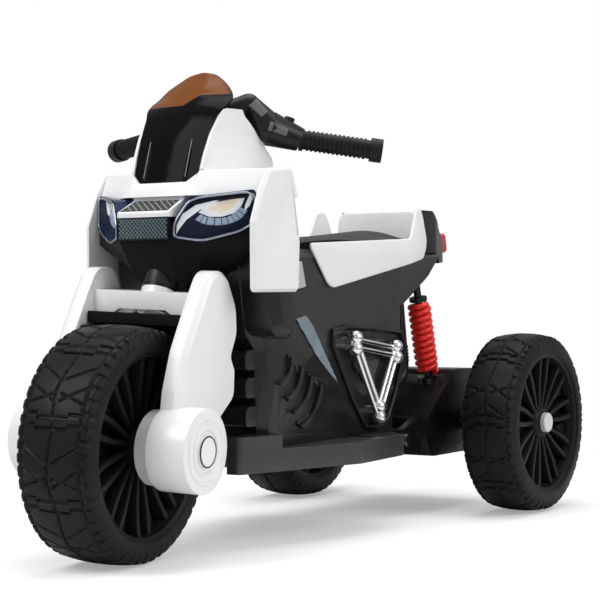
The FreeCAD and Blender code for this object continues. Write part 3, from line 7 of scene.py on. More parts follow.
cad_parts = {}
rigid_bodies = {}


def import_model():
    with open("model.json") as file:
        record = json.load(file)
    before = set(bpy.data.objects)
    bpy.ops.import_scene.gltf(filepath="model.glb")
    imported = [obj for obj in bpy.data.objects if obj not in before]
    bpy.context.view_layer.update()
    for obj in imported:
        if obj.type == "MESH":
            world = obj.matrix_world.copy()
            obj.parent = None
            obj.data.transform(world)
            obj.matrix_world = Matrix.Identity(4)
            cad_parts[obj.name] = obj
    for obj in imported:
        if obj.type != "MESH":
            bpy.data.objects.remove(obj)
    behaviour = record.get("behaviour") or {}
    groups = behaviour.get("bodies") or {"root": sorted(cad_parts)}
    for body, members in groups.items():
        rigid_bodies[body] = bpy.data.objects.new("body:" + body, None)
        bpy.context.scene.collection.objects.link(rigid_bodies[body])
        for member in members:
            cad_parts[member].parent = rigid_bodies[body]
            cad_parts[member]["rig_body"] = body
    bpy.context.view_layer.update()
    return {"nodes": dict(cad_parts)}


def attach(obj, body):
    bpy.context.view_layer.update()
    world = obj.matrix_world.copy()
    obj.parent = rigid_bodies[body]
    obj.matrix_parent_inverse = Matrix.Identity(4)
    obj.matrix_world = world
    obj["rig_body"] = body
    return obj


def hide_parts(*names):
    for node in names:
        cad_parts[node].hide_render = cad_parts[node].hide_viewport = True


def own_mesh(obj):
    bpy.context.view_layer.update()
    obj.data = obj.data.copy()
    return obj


# Child's electric three-wheeler motorbike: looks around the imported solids
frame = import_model()
nodes = frame["nodes"]
scene = bpy.context.scene
frontAxleY = -0.313  # the front axle's place along the bike, so that aft distances can be used


# Small steps in a tree of shader nodes
def mapOver(tree, value, span, reach=(0.0, 1.0), kind="LINEAR"):
    node = tree.nodes.new("ShaderNodeMapRange")
    node.interpolation_type = kind
    for ends, (low, high) in (("From", span), ("To", reach)):
        node.inputs[ends + " Min"].default_value = low
        node.inputs[ends + " Max"].default_value = high
    tree.links.new(value, node.inputs["Value"])
    return node.outputs["Result"]


def mathOn(tree, operation, first, second):
    node = tree.nodes.new("ShaderNodeMath")
    node.operation = operation
    for socket, value in zip(node.inputs, (first, second)):
        if isinstance(value, float):
            socket.default_value = value
        else:
            tree.links.new(value, socket)
    return node.outputs[0]


def mixColours(tree, amount, first, second):
    mix = tree.nodes.new("ShaderNodeMix")
    mix.data_type = "RGBA"
    tree.links.new(amount, mix.inputs["Factor"])
    for socket, colour in ((mix.inputs["A"], first), (mix.inputs["B"], second)):
        if isinstance(colour, tuple):
            socket.default_value = (*colour, 1)
        else:
            tree.links.new(colour, socket)
    return mix.outputs["Result"]


def noiseOn(tree, where, size, detail=3.0):
    # size is the width of one patch in metres
    noise = tree.nodes.new("ShaderNodeTexNoise")
    noise.inputs["Scale"].default_value = 1.0 / size
    noise.inputs["Detail"].default_value = detail
    tree.links.new(where, noise.inputs["Vector"])
    return noise.outputs["Fac"]


# Camera and light
cameraView = {"place": (1.2078, -1.8079, 0.2969), "azimuth": 32.92, "elevation": 0.35, "roll": -0.41,
              "lens": 105.44, "sensor": 36.0, "clip": (0.05, 30)}
studio = {"floorColour": (0.80, 0.805, 0.81), "floorLift": 0.32, "floorSize": 24, "floorDrop": 0.0005,
          "floorRoughness": 0.9, "worldColour": (1.0, 1.0, 1.0), "worldStrength": 0.45, "fade": (0.5, 1.25)}
lampAim = (0, 0, 0.25)
lamps = [
    {"name": "keyLamp", "place": (-0.7, -1.9, 2.0), "size": 1.4, "power": 32},
    {"name": "sideLamp", "place": (2.3, 0.3, 1.5), "size": 1.6, "power": 24},
    {"name": "topLamp", "place": (0.1, 0.2, 2.4), "size": 1.8, "power": 26},
]


def placeCamera():
    az = math.radians(cameraView["azimuth"])
    el = math.radians(cameraView["elevation"])
    roll = math.radians(cameraView["roll"])
    back = Vector((math.sin(az) * math.cos(el), -math.cos(az) * math.cos(el), math.sin(el)))
    right = Vector((math.cos(az), math.sin(az), 0))
    up = back.cross(right)
    turnedRight = right * math.cos(roll) + up * math.sin(roll)
    turnedUp = up * math.cos(roll) - right * math.sin(roll)
    data = bpy.data.cameras.new("photoCamera")
    data.lens = cameraView["lens"]
    data.sensor_width = cameraView["sensor"]
    data.clip_start, data.clip_end = cameraView["clip"]
    camera = bpy.data.objects.new("photoCamera", data)
    scene.collection.objects.link(camera)
    turn = Matrix((turnedRight, turnedUp, back)).transposed().to_4x4()
    camera.matrix_world = Matrix.Translation(cameraView["place"]) @ turn
    scene.camera = camera


def placeLamps():
    for lamp in lamps:
        data = bpy.data.lights.new(lamp["name"], "AREA")
        data.size = lamp["size"]
        data.energy = lamp["power"]
        obj = bpy.data.objects.new(lamp["name"], data)
        scene.collection.objects.link(obj)
        obj.location = lamp["place"]
        aim = Vector(lampAim) - Vector(lamp["place"])
        obj.rotation_euler = aim.to_track_quat("-Z", "Y").to_euler()


def brightWhere(tree, dimmed, bright=1.0):
    # bright for the camera and through glass, and dimmed for the light and the gloss on the object
    path = tree.nodes.new("ShaderNodeLightPath")
    seen = mathOn(tree, "MAXIMUM", path.outputs["Is Camera Ray"], path.outputs["Is Transmission Ray"])
    return mapOver(tree, seen, (0.0, 1.0), (dimmed, bright))


def makeStage():
    world = bpy.data.worlds.new("studioWorld")
    world.use_nodes = True
    tree = world.node_tree
    glow = tree.nodes["Background"]
    glow.inputs["Color"].default_value = (*studio["worldColour"], 1)
    tree.links.new(brightWhere(tree, studio["worldStrength"]), glow.inputs["Strength"])
    scene.world = world
    scene.view_settings.view_transform = "Standard"

    bpy.ops.object.select_all(action="DESELECT")
    bpy.ops.mesh.primitive_plane_add(size=studio["floorSize"], location=(0, 0, -studio["floorDrop"]))
    floor = bpy.context.object
    floor.name = "studioFloor"
    paint = bpy.data.materials.new("floorPaper")
    paint.use_nodes = True
    tree = paint.node_tree
    body = tree.nodes["Principled BSDF"]
    body.inputs["Base Color"].default_value = (*studio["floorColour"], 1)
    body.inputs["Roughness"].default_value = studio["floorRoughness"]
    body.inputs["Specular IOR Level"].default_value = 0.0
    body.inputs["Emission Color"].default_value = (1, 1, 1, 1)
    tree.links.new(brightWhere(tree, 0.0, studio["floorLift"]), body.inputs["Emission Strength"])
    coords = tree.nodes.new("ShaderNodeTexCoord")  # the floor fades to white away from the bike
    distance = tree.nodes.new("ShaderNodeVectorMath")
    distance.operation = "LENGTH"
    tree.links.new(coords.outputs["Object"], distance.inputs[0])
    fade = mapOver(tree, distance.outputs["Value"], studio["fade"], kind="SMOOTHSTEP")
    glow = tree.nodes.new("ShaderNodeEmission")
    tree.links.new(brightWhere(tree, studio["worldStrength"]), glow.inputs["Strength"])
    blend = tree.nodes.new("ShaderNodeMixShader")
    tree.links.new(fade, blend.inputs["Fac"])
    tree.links.new(body.outputs["BSDF"], blend.inputs[1])
    tree.links.new(glow.outputs["Emission"], blend.inputs[2])
    tree.links.new(blend.outputs["Shader"], tree.nodes["Material Output"].inputs["Surface"])
    floor.data.materials.append(paint)


placeCamera()
placeLamps()
makeStage()
print("camera, lamps and floor are in place")


# Finishes, kept by name
finishes = {}
noiseSpan = (0.3, 0.7)  # the part of a noise that is spread over a whole range
mouldSet = {"finer": 3, "fineDetail": 5.0, "grainDetail": 2.0}
clearSet = {"patch": 0.05, "finePatch": 0.02, "fineDetail": 4.0, "darker": 0.9, "gloss": (0.6, 1.5),
            "bend": 1.45, "grainDetail": 1.0, "grainDepth": 0.00003}


def startPaint(name):
    paint = bpy.data.materials.new(name)
    paint.use_nodes = True
    finishes[name] = paint
    tree = paint.node_tree
    coords = tree.nodes.new("ShaderNodeTexCoord")
    return tree, tree.nodes["Principled BSDF"], coords.outputs["Object"]


def cloudOn(tree, where, patch):
    return mapOver(tree, noiseOn(tree, where, patch), noiseSpan)


def glossOn(tree, body, where, patch, detail, roughness):
    sheen = mapOver(tree, noiseOn(tree, where, patch, detail), noiseSpan, roughness)
    tree.links.new(sheen, body.inputs["Roughness"])


def grainOn(tree, body, height, depth):
    bump = tree.nodes.new("ShaderNodeBump")
    bump.inputs["Strength"].default_value = 1.0
    bump.inputs["Distance"].default_value = depth
    tree.links.new(height, bump.inputs["Height"])
    tree.links.new(bump.outputs["Normal"], body.inputs["Normal"])


def mould(name, colours, roughness, grain, depth, metallic=0.0, patch=0.09, specular=0.5):
    # moulded plastic or metal: cloudy colour, uneven gloss and a fine grain
    tree, body, where = startPaint(name)
    tree.links.new(mixColours(tree, cloudOn(tree, where, patch), *colours), body.inputs["Base Color"])
    glossOn(tree, body, where, patch / mouldSet["finer"], mouldSet["fineDetail"], roughness)
    grainOn(tree, body, noiseOn(tree, where, grain, mouldSet["grainDetail"]), depth)
    body.inputs["Metallic"].default_value = metallic
    body.inputs["Specular IOR Level"].default_value = specular


def clearBase(name, tint, roughness):
    tree, body, where = startPaint(name)
    darker = tuple(clearSet["darker"] * c for c in tint)
    cloud = cloudOn(tree, where, clearSet["patch"])
    tree.links.new(mixColours(tree, cloud, tint, darker), body.inputs["Base Color"])
    glossOn(tree, body, where, clearSet["finePatch"], clearSet["fineDetail"],
            [roughness * share for share in clearSet["gloss"]])
    return tree, body, where


def clearPlastic(name, tint, roughness, passing, grain):
    tree, body, where = clearBase(name, tint, roughness)
    grainOn(tree, body, noiseOn(tree, where, grain, clearSet["grainDetail"]), clearSet["grainDepth"])
    body.inputs["Transmission Weight"].default_value = passing
    body.inputs["IOR"].default_value = clearSet["bend"]


def clearLens(name, tint, roughness, cover):
    # thin clear moulding: nearly all see-through, with a gloss on top
    body = clearBase(name, tint, roughness)[1]
    body.inputs["Alpha"].default_value = cover


# the rim colour is painted shade: a darker amber laid on the screen's edges
screenTint = {"amber": (0.225, 0.073, 0.017), "rim": (0.045, 0.014, 0.005), "black": (0.005, 0.005, 0.006),
              "step": (0.0, 0.0143), "heights": (0.5085, 0.5208), "blur": (-0.0005, 0.0005), "passing": 0.25,
              "roughness": (0.08, 0.16), "grain": 0.005, "grainDepth": 0.00002, "specular": 0.05}


def tintedScreen(name):
    # amber see-through top with a dark rim of painted shade along its edges, and a black mask below a
    # stepped line
    tree, body, where = startPaint(name)
    split = tree.nodes.new("ShaderNodeSeparateXYZ")
    tree.links.new(where, split.inputs["Vector"])
    line = mapOver(tree, split.outputs["X"], screenTint["step"], screenTint["heights"])
    above = mathOn(tree, "SUBTRACT", split.outputs["Z"], line)
    clear = mapOver(tree, above, screenTint["blur"])
    rim = tree.nodes.new("ShaderNodeAttribute")
    rim.attribute_name = "rim"
    # the rim attribute darkens the edges of the amber as painted shade
    amber = mixColours(tree, rim.outputs["Fac"], screenTint["amber"], screenTint["rim"])
    tree.links.new(mixColours(tree, clear, screenTint["black"], amber), body.inputs["Base Color"])
    passing = mathOn(tree, "MULTIPLY", clear, screenTint["passing"])
    tree.links.new(passing, body.inputs["Transmission Weight"])
    glossOn(tree, body, where, clearSet["finePatch"], clearSet["fineDetail"], screenTint["roughness"])
    grain = noiseOn(tree, where, screenTint["grain"], clearSet["grainDetail"])
    grainOn(tree, body, grain, screenTint["grainDepth"])
    body.inputs["IOR"].default_value = clearSet["bend"]
    body.inputs["Specular IOR Level"].default_value = screenTint["specular"]


# Each moulding has two colours that cloud together, a range of roughness, and the grain's size and depth
mould("glossWhite", ((0.90, 0.906, 0.916), (0.865, 0.873, 0.886)), (0.16, 0.26), 0.006, 0.00002)
mould("satinBlack", ((0.006, 0.006, 0.007), (0.010, 0.010, 0.011)), (0.24, 0.36), 0.0012, 0.00006,
      specular=0.3)
# a little lighter than satinBlack: painted sheen on the chassis sides and louvre lips
mould("bodyBlackPaintedSheen", ((0.010, 0.010, 0.011), (0.014, 0.014, 0.015)), (0.20, 0.32), 0.0012, 0.00005,
      specular=0.4)
# a lighter copy of the black plastic: painted sheen on the footboards' sides
mould("footBlackPaintedSheen", ((0.036, 0.036, 0.037), (0.046, 0.046, 0.047)), (0.28, 0.40), 0.0011, 0.00006,
      specular=0.45)
mould("guardBlack", ((0.006, 0.006, 0.007), (0.010, 0.010, 0.011)), (0.36, 0.48), 0.0012, 0.00006,
      specular=0.07)
mould("seatVinyl", ((0.008, 0.008, 0.009), (0.012, 0.012, 0.013)), (0.42, 0.55), 0.0016, 0.00012,
      specular=0.3)
mould("tyreBlack", ((0.008, 0.008, 0.0085), (0.013, 0.013, 0.0135)), (0.34, 0.48), 0.0011, 0.00008,
      specular=0.14)
mould("gripRubber", ((0.007, 0.007, 0.0075), (0.011, 0.011, 0.0115)), (0.4, 0.55), 0.0009, 0.0001,
      specular=0.25)
tintedScreen("amberScreen")
clearLens("lampLens", (0.02, 0.03, 0.05), roughness=0.05, cover=0.06)
mould("lampCorePaintedGlow", ((0.86, 0.74, 0.56), (0.95, 0.88, 0.74)), (0.12, 0.2), 0.003, 0.00003)
clearPlastic("tailRed", (0.60, 0.03, 0.04), roughness=0.25, passing=0.05, grain=0.003)
mould("springRed", ((0.92, 0.030, 0.020), (0.82, 0.024, 0.016)), (0.2, 0.32), 0.002, 0.00003)
mould("brightTrim", ((0.88, 0.885, 0.90), (0.80, 0.81, 0.83)), (0.07, 0.15), 0.003, 0.00002,
      metallic=1.0, patch=0.03)
mould("axleSteel", ((0.52, 0.52, 0.54), (0.45, 0.45, 0.47)), (0.24, 0.38), 0.0008, 0.00003,
      metallic=1.0, patch=0.02)
mould("hubGrey", ((0.72, 0.735, 0.74), (0.64, 0.655, 0.66)), (0.3, 0.42), 0.001, 0.00005)
mould("gearNylon", ((0.74, 0.73, 0.68), (0.66, 0.65, 0.6)), (0.36, 0.5), 0.001, 0.00005)
mould("batteryCase", ((0.05, 0.05, 0.055), (0.036, 0.036, 0.04)), (0.45, 0.6), 0.001, 0.0001)
mould("switchRed", ((0.5, 0.02, 0.018), (0.4, 0.014, 0.012)), (0.22, 0.34), 0.001, 0.00004)
mould("cableBlack", ((0.012, 0.012, 0.012), (0.02, 0.02, 0.02)), (0.45, 0.6), 0.002, 0.0001)
mould("lampNavy", ((0.007, 0.016, 0.056), (0.012, 0.026, 0.080)), (0.12, 0.22), 0.003, 0.00003,
      specular=0.3)
mould("meshTeal", ((0.055, 0.098, 0.107), (0.082, 0.130, 0.140)), (0.3, 0.42), 0.001, 0.00005)
mould("meshDark", ((0.006, 0.008, 0.009), (0.010, 0.013, 0.014)), (0.4, 0.55), 0.001, 0.00005,
      specular=0.15)

wearing = {
    "glossWhite": ["side_fairings", "nose_cowl", "screen_cheeks", "seat_back", "tail_panels",
                   "fork_leg_left", "fork_leg_right", "fork_crown", "fork_axle_caps"],
    "bodyBlackPaintedSheen": ["chassis_left", "chassis_right"],
    "satinBlack": ["dash_panel", "handlebar", "axle_housing", "housing_cover", "shock_rods", "exhaust_pipes",
                   "charge_socket", "control_box", "tail_cap", "head_bushes", "steering_stem", "horn_button",
                   "music_button", "accelerator_pedal"],
    "guardBlack": ["front_mudguard", "chin_cowl"],
    "footBlackPaintedSheen": ["footboard_left", "footboard_right"],
    "seatVinyl": ["seat"],
    "tyreBlack": ["front_wheel", "rear_wheel_left", "rear_wheel_right"],
    "gripRubber": ["grip_left", "grip_right"],
    "amberScreen": ["windscreen"],
    "lampLens": ["headlight_lenses"],
    "lampNavy": ["headlight_bowls"],
    "lampCorePaintedGlow": ["headlight_leds"],
    "meshDark": ["nose_grilles"],
    "tailRed": ["tail_light"],
    "springRed": ["shock_springs"],
    "brightTrim": ["engine_trims", "flash_trims", "pivot_bolts"],
    "axleSteel": ["front_axle", "front_axle_nuts", "rear_axle", "drive_motor"],
    "hubGrey": ["fork_spacers", "hub_cap_left", "hub_cap_right"],
    "gearNylon": ["front_wheel_bushes", "wheel_gear", "reduction_gear", "motor_pinion"],
    "batteryCase": ["battery"],
    "switchRed": ["power_switch", "direction_switch"],
    "cableBlack": ["wiring_harness"],
}


def paintIn(obj, finish):
    obj.data.materials.clear()
    obj.data.materials.append(finishes[finish])


for finish, names in wearing.items():
    for name in names:
        paintIn(nodes[name], finish)
print("finishes are on the solids")


# Steps that the pieces share
weld = {"copy": 0.00002, "spin": 0.00005, "flat": 0.6}


def pickOnly(obj):
    bpy.ops.object.select_all(action="DESELECT")
    obj.select_set(True)
    bpy.context.view_layer.objects.active = obj


def editAll(obj):
    pickOnly(obj)
    bpy.ops.object.mode_set(mode="EDIT")
    bpy.ops.mesh.select_all(action="SELECT")


def bodyOf(node):
    return nodes[node]["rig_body"]


def useModifier(obj, kind, **settings):
    modifier = obj.modifiers.new(kind.lower(), kind)
    for key, value in settings.items():
        setattr(modifier, key, value)
    pickOnly(obj)
    bpy.ops.object.modifier_apply(modifier=modifier.name)


def roundEdges(obj, width, segments, angle, **more):
    useModifier(obj, "BEVEL", width=width, segments=segments, limit_method="ANGLE",
                angle_limit=math.radians(angle), **more)


def smoothEdges(obj, angle):
    pickOnly(obj)
    bpy.ops.object.shade_smooth_by_angle(angle=math.radians(angle))


def faceOut(obj):
    editAll(obj)
    bpy.ops.mesh.normals_make_consistent(inside=False)
    bpy.ops.object.mode_set(mode="OBJECT")


def copyOf(node, name):
    obj = bpy.data.objects.new(name, nodes[node].data.copy())
    scene.collection.objects.link(obj)
    editAll(obj)
    bpy.ops.mesh.remove_doubles(threshold=weld["copy"])
    bpy.ops.mesh.dissolve_limited(angle_limit=math.radians(weld["flat"]))
    bpy.ops.object.mode_set(mode="OBJECT")
    return obj


def dress(obj, finish, node, smooth=0):
    # a piece rides with a node and has its slot; its edges flatter than the angle smooth are shaded smooth
    if smooth:
        smoothEdges(obj, smooth)
    paintIn(obj, finish)
    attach(obj, bodyOf(node))


def meshFrom(name, points, faces, edges=()):
    mesh = bpy.data.meshes.new(name)
    mesh.from_pydata([tuple(p) for p in points], list(edges), faces)
    mesh.update()
    obj = bpy.data.objects.new(name, mesh)
    scene.collection.objects.link(obj)
    return obj


def spinRound(name, profile, steps):
    # a profile of (x, radius) points spun about the X axis
    obj = meshFrom(name, [(x, 0, r) for x, r in profile], [], [(i, i + 1) for i in range(len(profile) - 1)])
    editAll(obj)
    bpy.ops.mesh.spin(steps=steps, angle=2 * math.pi, center=(0, 0, 0), axis=(1, 0, 0))
    bpy.ops.mesh.select_all(action="SELECT")
    bpy.ops.mesh.remove_doubles(threshold=weld["spin"])
    bpy.ops.object.mode_set(mode="OBJECT")
    return obj


def joinPieces(pieces, name):
    bpy.ops.object.select_all(action="DESELECT")
    for piece in pieces:
        piece.select_set(True)
    bpy.context.view_layer.objects.active = pieces[0]
    if len(pieces) > 1:
        bpy.ops.object.join()
    joined = bpy.context.view_layer.objects.active
    joined.name = name
    joined.data.name = name
    return joined


def withMirror(piece, name):
    other = piece.copy()
    other.data = piece.data.copy()
    scene.collection.objects.link(other)
    other.data.transform(Matrix.Scale(-1, 4, (1, 0, 0)))
    return joinPieces([piece, other], name)


def mirrorPair(piece, name):
    both = withMirror(piece, name)
    faceOut(both)
    return both


def tubeAlong(name, points, radius, closed=False, sides=3):
    curve = bpy.data.curves.new(name, "CURVE")
    curve.dimensions = "3D"
    curve.bevel_depth = radius
    curve.bevel_resolution = sides
    curve.use_fill_caps = not closed
    spline = curve.splines.new("POLY")
    spline.points.add(len(points) - 1)
    for spot, place in zip(spline.points, points):
        spot.co = (*place, 1)
    spline.use_cyclic_u = closed
    obj = bpy.data.objects.new(name, curve)
    scene.collection.objects.link(obj)
    pickOnly(obj)
    bpy.ops.object.convert(target="MESH")
    return bpy.context.view_layer.objects.active


def plateBetween(name, front, back, edge):
    # a plate with the same outline on both faces, and rounded edges
    count = len(front)
    faces = [tuple(range(count)), tuple(reversed(range(count, 2 * count)))]
    faces += [(i, (i + 1) % count, count + (i + 1) % count, count + i) for i in range(count)]
    plate = meshFrom(name, front + back, faces)
    faceOut(plate)
    roundEdges(plate, edge, segments=3, angle=30)
    return plate


def slab(name, points, push, edge):
    front = [Vector(p) for p in points]
    return plateBetween(name, front, [corner + Vector(push) for corner in front], edge)


def sideSpot(x, aft, z):
    # a place given in millimetres, with aft measured from the front axle
    return Vector((x / 1000, aft / 1000 + frontAxleY, z / 1000))


def glide(rows, place):
    # smooth value through rows of numbers, by number of the row
    low = min(int(place), len(rows) - 2)
    part = place - low
    before = rows[max(low - 1, 0)]
    after = rows[min(low + 2, len(rows) - 1)]
    here = rows[low]
    there = rows[low + 1]
    answer = []
    for k in range(len(here)):
        slopeA = (there[k] - before[k]) / 2
        slopeB = (after[k] - here[k]) / 2
        a = 2 * part ** 3 - 3 * part ** 2 + 1
        b = part ** 3 - 2 * part ** 2 + part
        c = -2 * part ** 3 + 3 * part ** 2
        d = part ** 3 - part ** 2
        answer.append(a * here[k] + b * slopeA + c * there[k] + d * slopeB)
    return answer


# Softened mouldings: a copy of the solid with its edges rounded as a mould leaves them
mouldEdges = {  # the round's width
    "fork_leg_left": 0.005, "fork_leg_right": 0.005, "fork_crown": 0.005, "side_fairings": 0.004,
    "nose_cowl": 0.0025, "screen_cheeks": 0.0025, "tail_panels": 0.003, "seat_back": 0.003,
    "chassis_left": 0.002, "chassis_right": 0.002, "chin_cowl": 0.0015, "footboard_left": 0.005,
    "footboard_right": 0.005, "axle_housing": 0.002, "tail_cap": 0.004, "front_mudguard": 0.0015,
}

for node, width in mouldEdges.items():
    soft = copyOf(node, node + "_moulding")
    roundEdges(soft, width, segments=3, angle=32, use_clamp_overlap=True, miter_outer="MITER_ARC")
    dress(soft, nodes[node].data.materials[0].name, node, smooth=38)
    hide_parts(node)
    print("softened", node, len(soft.data.polygons))


# Wheels: a blow-moulded tyre with a block tread, and a dished face of paired blades
steerRest = {"angle": 6.3, "rake": 22.0, "foot": (0.0, -0.301, 0.130)}
frontWheelSet = {"node": "front_wheel", "radius": 0.130, "half": 0.0465, "place": (0.0, frontAxleY, 0.130),
                 "steps": 504, "pitches": 9, "lean": 1, "pairs": 10, "hubRadius": 0.024, "hubEnd": 0.0465,
                 "turned": True}
rearWheelSet = {"radius": 0.118, "half": 0.038, "steps": 448, "pitches": 8, "lean": -1, "pairs": 9,
                "hubRadius": 0.021, "hubEnd": 0.029, "turned": False}
wheelSets = [
    frontWheelSet,
    {**rearWheelSet, "node": "rear_wheel_left", "place": (0.182, 0.325, 0.118)},
    {**rearWheelSet, "node": "rear_wheel_right", "place": (-0.182, 0.325, 0.118)},
]
tyreSet = {"crown": 0.86, "crownDrop": 0.0035, "crownSteps": 30, "treadDown": 0.017, "fullDown": 0.006,
           "shallow": 0.7,
           "side": [(0.90, 0.0052), (0.94, 0.0078), (0.97, 0.0115), (0.99, 0.016), (1, 0.021), (1, 0.0245),
                    (0.975, 0.0270), (0.95, 0.0268), (0.93, 0.0280), (0.90, 0.0320), (0.60, 0.0350)]}
treadSet = {"slope": 0.0012,
            "bars": {"depth": 0.0030, "half": 0.0012, "places": (0.004, 0.016), "step": 0.004,
                     "stepFrom": 0.42},
            "zigzag": {"depth": 0.0024, "half": 0.0009, "swing": 0.003},
            "slants": {"depth": 0.0022, "half": 0.0008, "from": 0.08, "to": 0.72,
                       "lines": ((0.34, 0.62), (0.62, 0.62), (0.48, -0.35))},
            "rail": {"depth": 0.0022, "half": 0.0008, "place": 0.75},
            "shoulder": {"depth": 0.0030, "half": 0.0016, "from": 0.77, "count": 6}}
faceSet = {"rimDrop": 0.034, "floor": 0.36, "rise": (0.66, 0.16), "lap": 0.002, "root": 0.003,
           "bladeSteps": 6, "spread": (0.20, 0.03, 0.05), "thick": (0.0021, 0.0012), "edge": 0.0011,
           "pocket": [(-0.028, 0.0004), (-0.014, 0.0050), (0.001, 0.0105)], "pocketTop": 0.56,
           "steps": 96, "fillet": 0.004, "lip": 0.001, "round": 0.002, "bore": 0.0085}


def steerTurn():
    rake = math.radians(steerRest["rake"])
    axis = Vector((0, math.sin(rake), math.cos(rake)))
    foot = Matrix.Translation(steerRest["foot"])
    return foot @ Matrix.Rotation(math.radians(steerRest["angle"]), 4, axis) @ foot.inverted()


def grooveAt(away, cut):
    # depth at a distance from the middle of a groove, whose sides have a short slope
    slope = treadSet["slope"]
    return cut["depth"] * min(1.0, max(0.0, (cut["half"] + slope - abs(away)) / slope))


def nearest(distance, pitch):
    return (distance + pitch / 2) % pitch - pitch / 2


def treadDepth(along, across, half, pitch, lean):
    # along runs round the tyre and across over its width; the answer is the deepest groove's depth
    side = abs(across)
    place = (along / pitch) % 1.0
    local = place * pitch
    bars = treadSet["bars"]
    step = bars["step"] if side > bars["stepFrom"] * half else 0.0
    depths = [grooveAt(nearest(local - middle - step * lean, pitch), bars) for middle in bars["places"]]
    swing = treadSet["zigzag"]["swing"] * (abs(4 * place - 2) - 1)
    depths.append(grooveAt(across - swing, treadSet["zigzag"]))
    slants = treadSet["slants"]
    if slants["from"] * half < side < slants["to"] * half:
        for start, slope in slants["lines"]:
            depths.append(grooveAt(nearest(local - (start * pitch + slope * lean * side), pitch), slants))
    depths.append(grooveAt(side - treadSet["rail"]["place"] * half, treadSet["rail"]))
    shoulder = treadSet["shoulder"]
    if side > shoulder["from"] * half:
        count = shoulder["count"]
        beat = (place * count) % 1.0
        depths.append(grooveAt(beat * pitch / count - pitch / (2 * count), shoulder))
    return max(depths)


def makeTyre(wheelSet):
    radius = wheelSet["radius"]
    half = wheelSet["half"]
    wide = tyreSet["crown"] * half
    count = tyreSet["crownSteps"]
    crown = []
    for i in range(-count, count + 1):
        across = wide * i / count
        crown.append((across, radius - tyreSet["crownDrop"] * (across / wide) ** 2))
    side = [(share * half, radius - drop) for share, drop in tyreSet["side"]]
    profile = [(-x, r) for x, r in reversed(side)] + crown + side
    tyre = spinRound(wheelSet["node"] + "_tyre", profile, wheelSet["steps"])
    pitch = 2 * math.pi * radius / wheelSet["pitches"]
    for vertex in tyre.data.vertices:
        x, y, z = vertex.co
        reach = math.hypot(y, z)
        if reach > radius - tyreSet["treadDown"]:
            depth = treadDepth(radius * math.atan2(y, z), x, half, pitch, wheelSet["lean"])
            if reach < radius - tyreSet["fullDown"]:
                depth *= tyreSet["shallow"]
            vertex.co = (x, y * (reach - depth) / reach, z * (reach - depth) / reach)
    return tyre


def bladeBlock(name, rows, low, high):
    # rows are (reach, angle, half thickness); the blade stands from low to high(reach) along the axle
    points = []
    for reach, angle, thick in rows:
        for x in (low, high(reach)):
            for turn in (-thick, thick):
                points.append((x, reach * math.sin(angle) + turn * math.cos(angle),
                               reach * math.cos(angle) - turn * math.sin(angle)))
    faces = [(0, 1, 3, 2)]
    for i in range(len(rows) - 1):
        a = 4 * i
        b = a + 4
        faces += [(a, b, b + 1, a + 1), (a + 1, b + 1, b + 3, a + 3), (a + 3, b + 3, b + 2, a + 2),
                  (a + 2, b + 2, b, a)]
    a = 4 * (len(rows) - 1)
    faces.append((a + 2, a + 3, a + 1, a))
    return meshFrom(name, points, faces)


def bladeRows(sign, middle, pairStep, hub, rim):
    root = faceSet["root"]
    base, taper, bow = faceSet["spread"]
    rows = []
    for k in range(faceSet["bladeSteps"] + 1):
        share = k / faceSet["bladeSteps"]
        reach = hub - root + share * (rim + faceSet["lap"] - hub + root)
        spread = sign * (base - taper * share + bow * math.sin(math.pi * share)) * pairStep
        rows.append((reach, middle + spread, faceSet["thick"][0] + faceSet["thick"][1] * share))
    return rows


def makeFace(wheelSet):
    half = wheelSet["half"]
    rim = wheelSet["radius"] - faceSet["rimDrop"]
    hub = wheelSet["hubRadius"]
    hubEnd = wheelSet["hubEnd"]
    floor = faceSet["floor"] * half
    low, climb = faceSet["rise"]
    pieces = []
    pairStep = 2 * math.pi / wheelSet["pairs"]
    for i in range(wheelSet["pairs"]):
        middle = i * pairStep
        for sign in (-1, 1):
            rows = bladeRows(sign, middle, pairStep, hub, rim)
            pieces.append(bladeBlock("blade", rows, floor,
                                     lambda reach: (low + climb * (reach - hub) / (rim - hub)) * half))
        pocket = [(rim + reach, middle + pairStep / 2, thick) for reach, thick in faceSet["pocket"]]
        pieces.append(bladeBlock("pocket", pocket, floor, lambda reach: faceSet["pocketTop"] * half))
    blades = joinPieces(pieces, wheelSet["node"] + "_blades")
    faceOut(blades)
    roundEdges(blades, faceSet["edge"], segments=2, angle=40)
    profile = [(0, rim + faceSet["lap"]), (floor, rim + faceSet["lap"]), (floor, hub + faceSet["fillet"]),
               (low * half, hub + faceSet["lip"]), (hubEnd - faceSet["round"], hub - faceSet["lip"]),
               (hubEnd, hub - faceSet["root"]), (hubEnd, faceSet["bore"])]
    dish = spinRound("dish", profile, faceSet["steps"])
    near = joinPieces([blades, dish], wheelSet["node"] + "_face")
    return withMirror(near, wheelSet["node"] + "_face")


for wheelSet in wheelSets:
    place = Matrix.Translation(wheelSet["place"])
    if wheelSet["turned"]:
        place = steerTurn() @ place
    tyre = makeTyre(wheelSet)
    face = makeFace(wheelSet)
    for piece in (tyre, face):
        piece.data.transform(place)
        faceOut(piece)
        dress(piece, "tyreBlack", wheelSet["node"], smooth=32)
    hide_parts(wheelSet["node"])
    print("wheel made", wheelSet["node"], len(tyre.data.polygons), len(face.data.polygons))


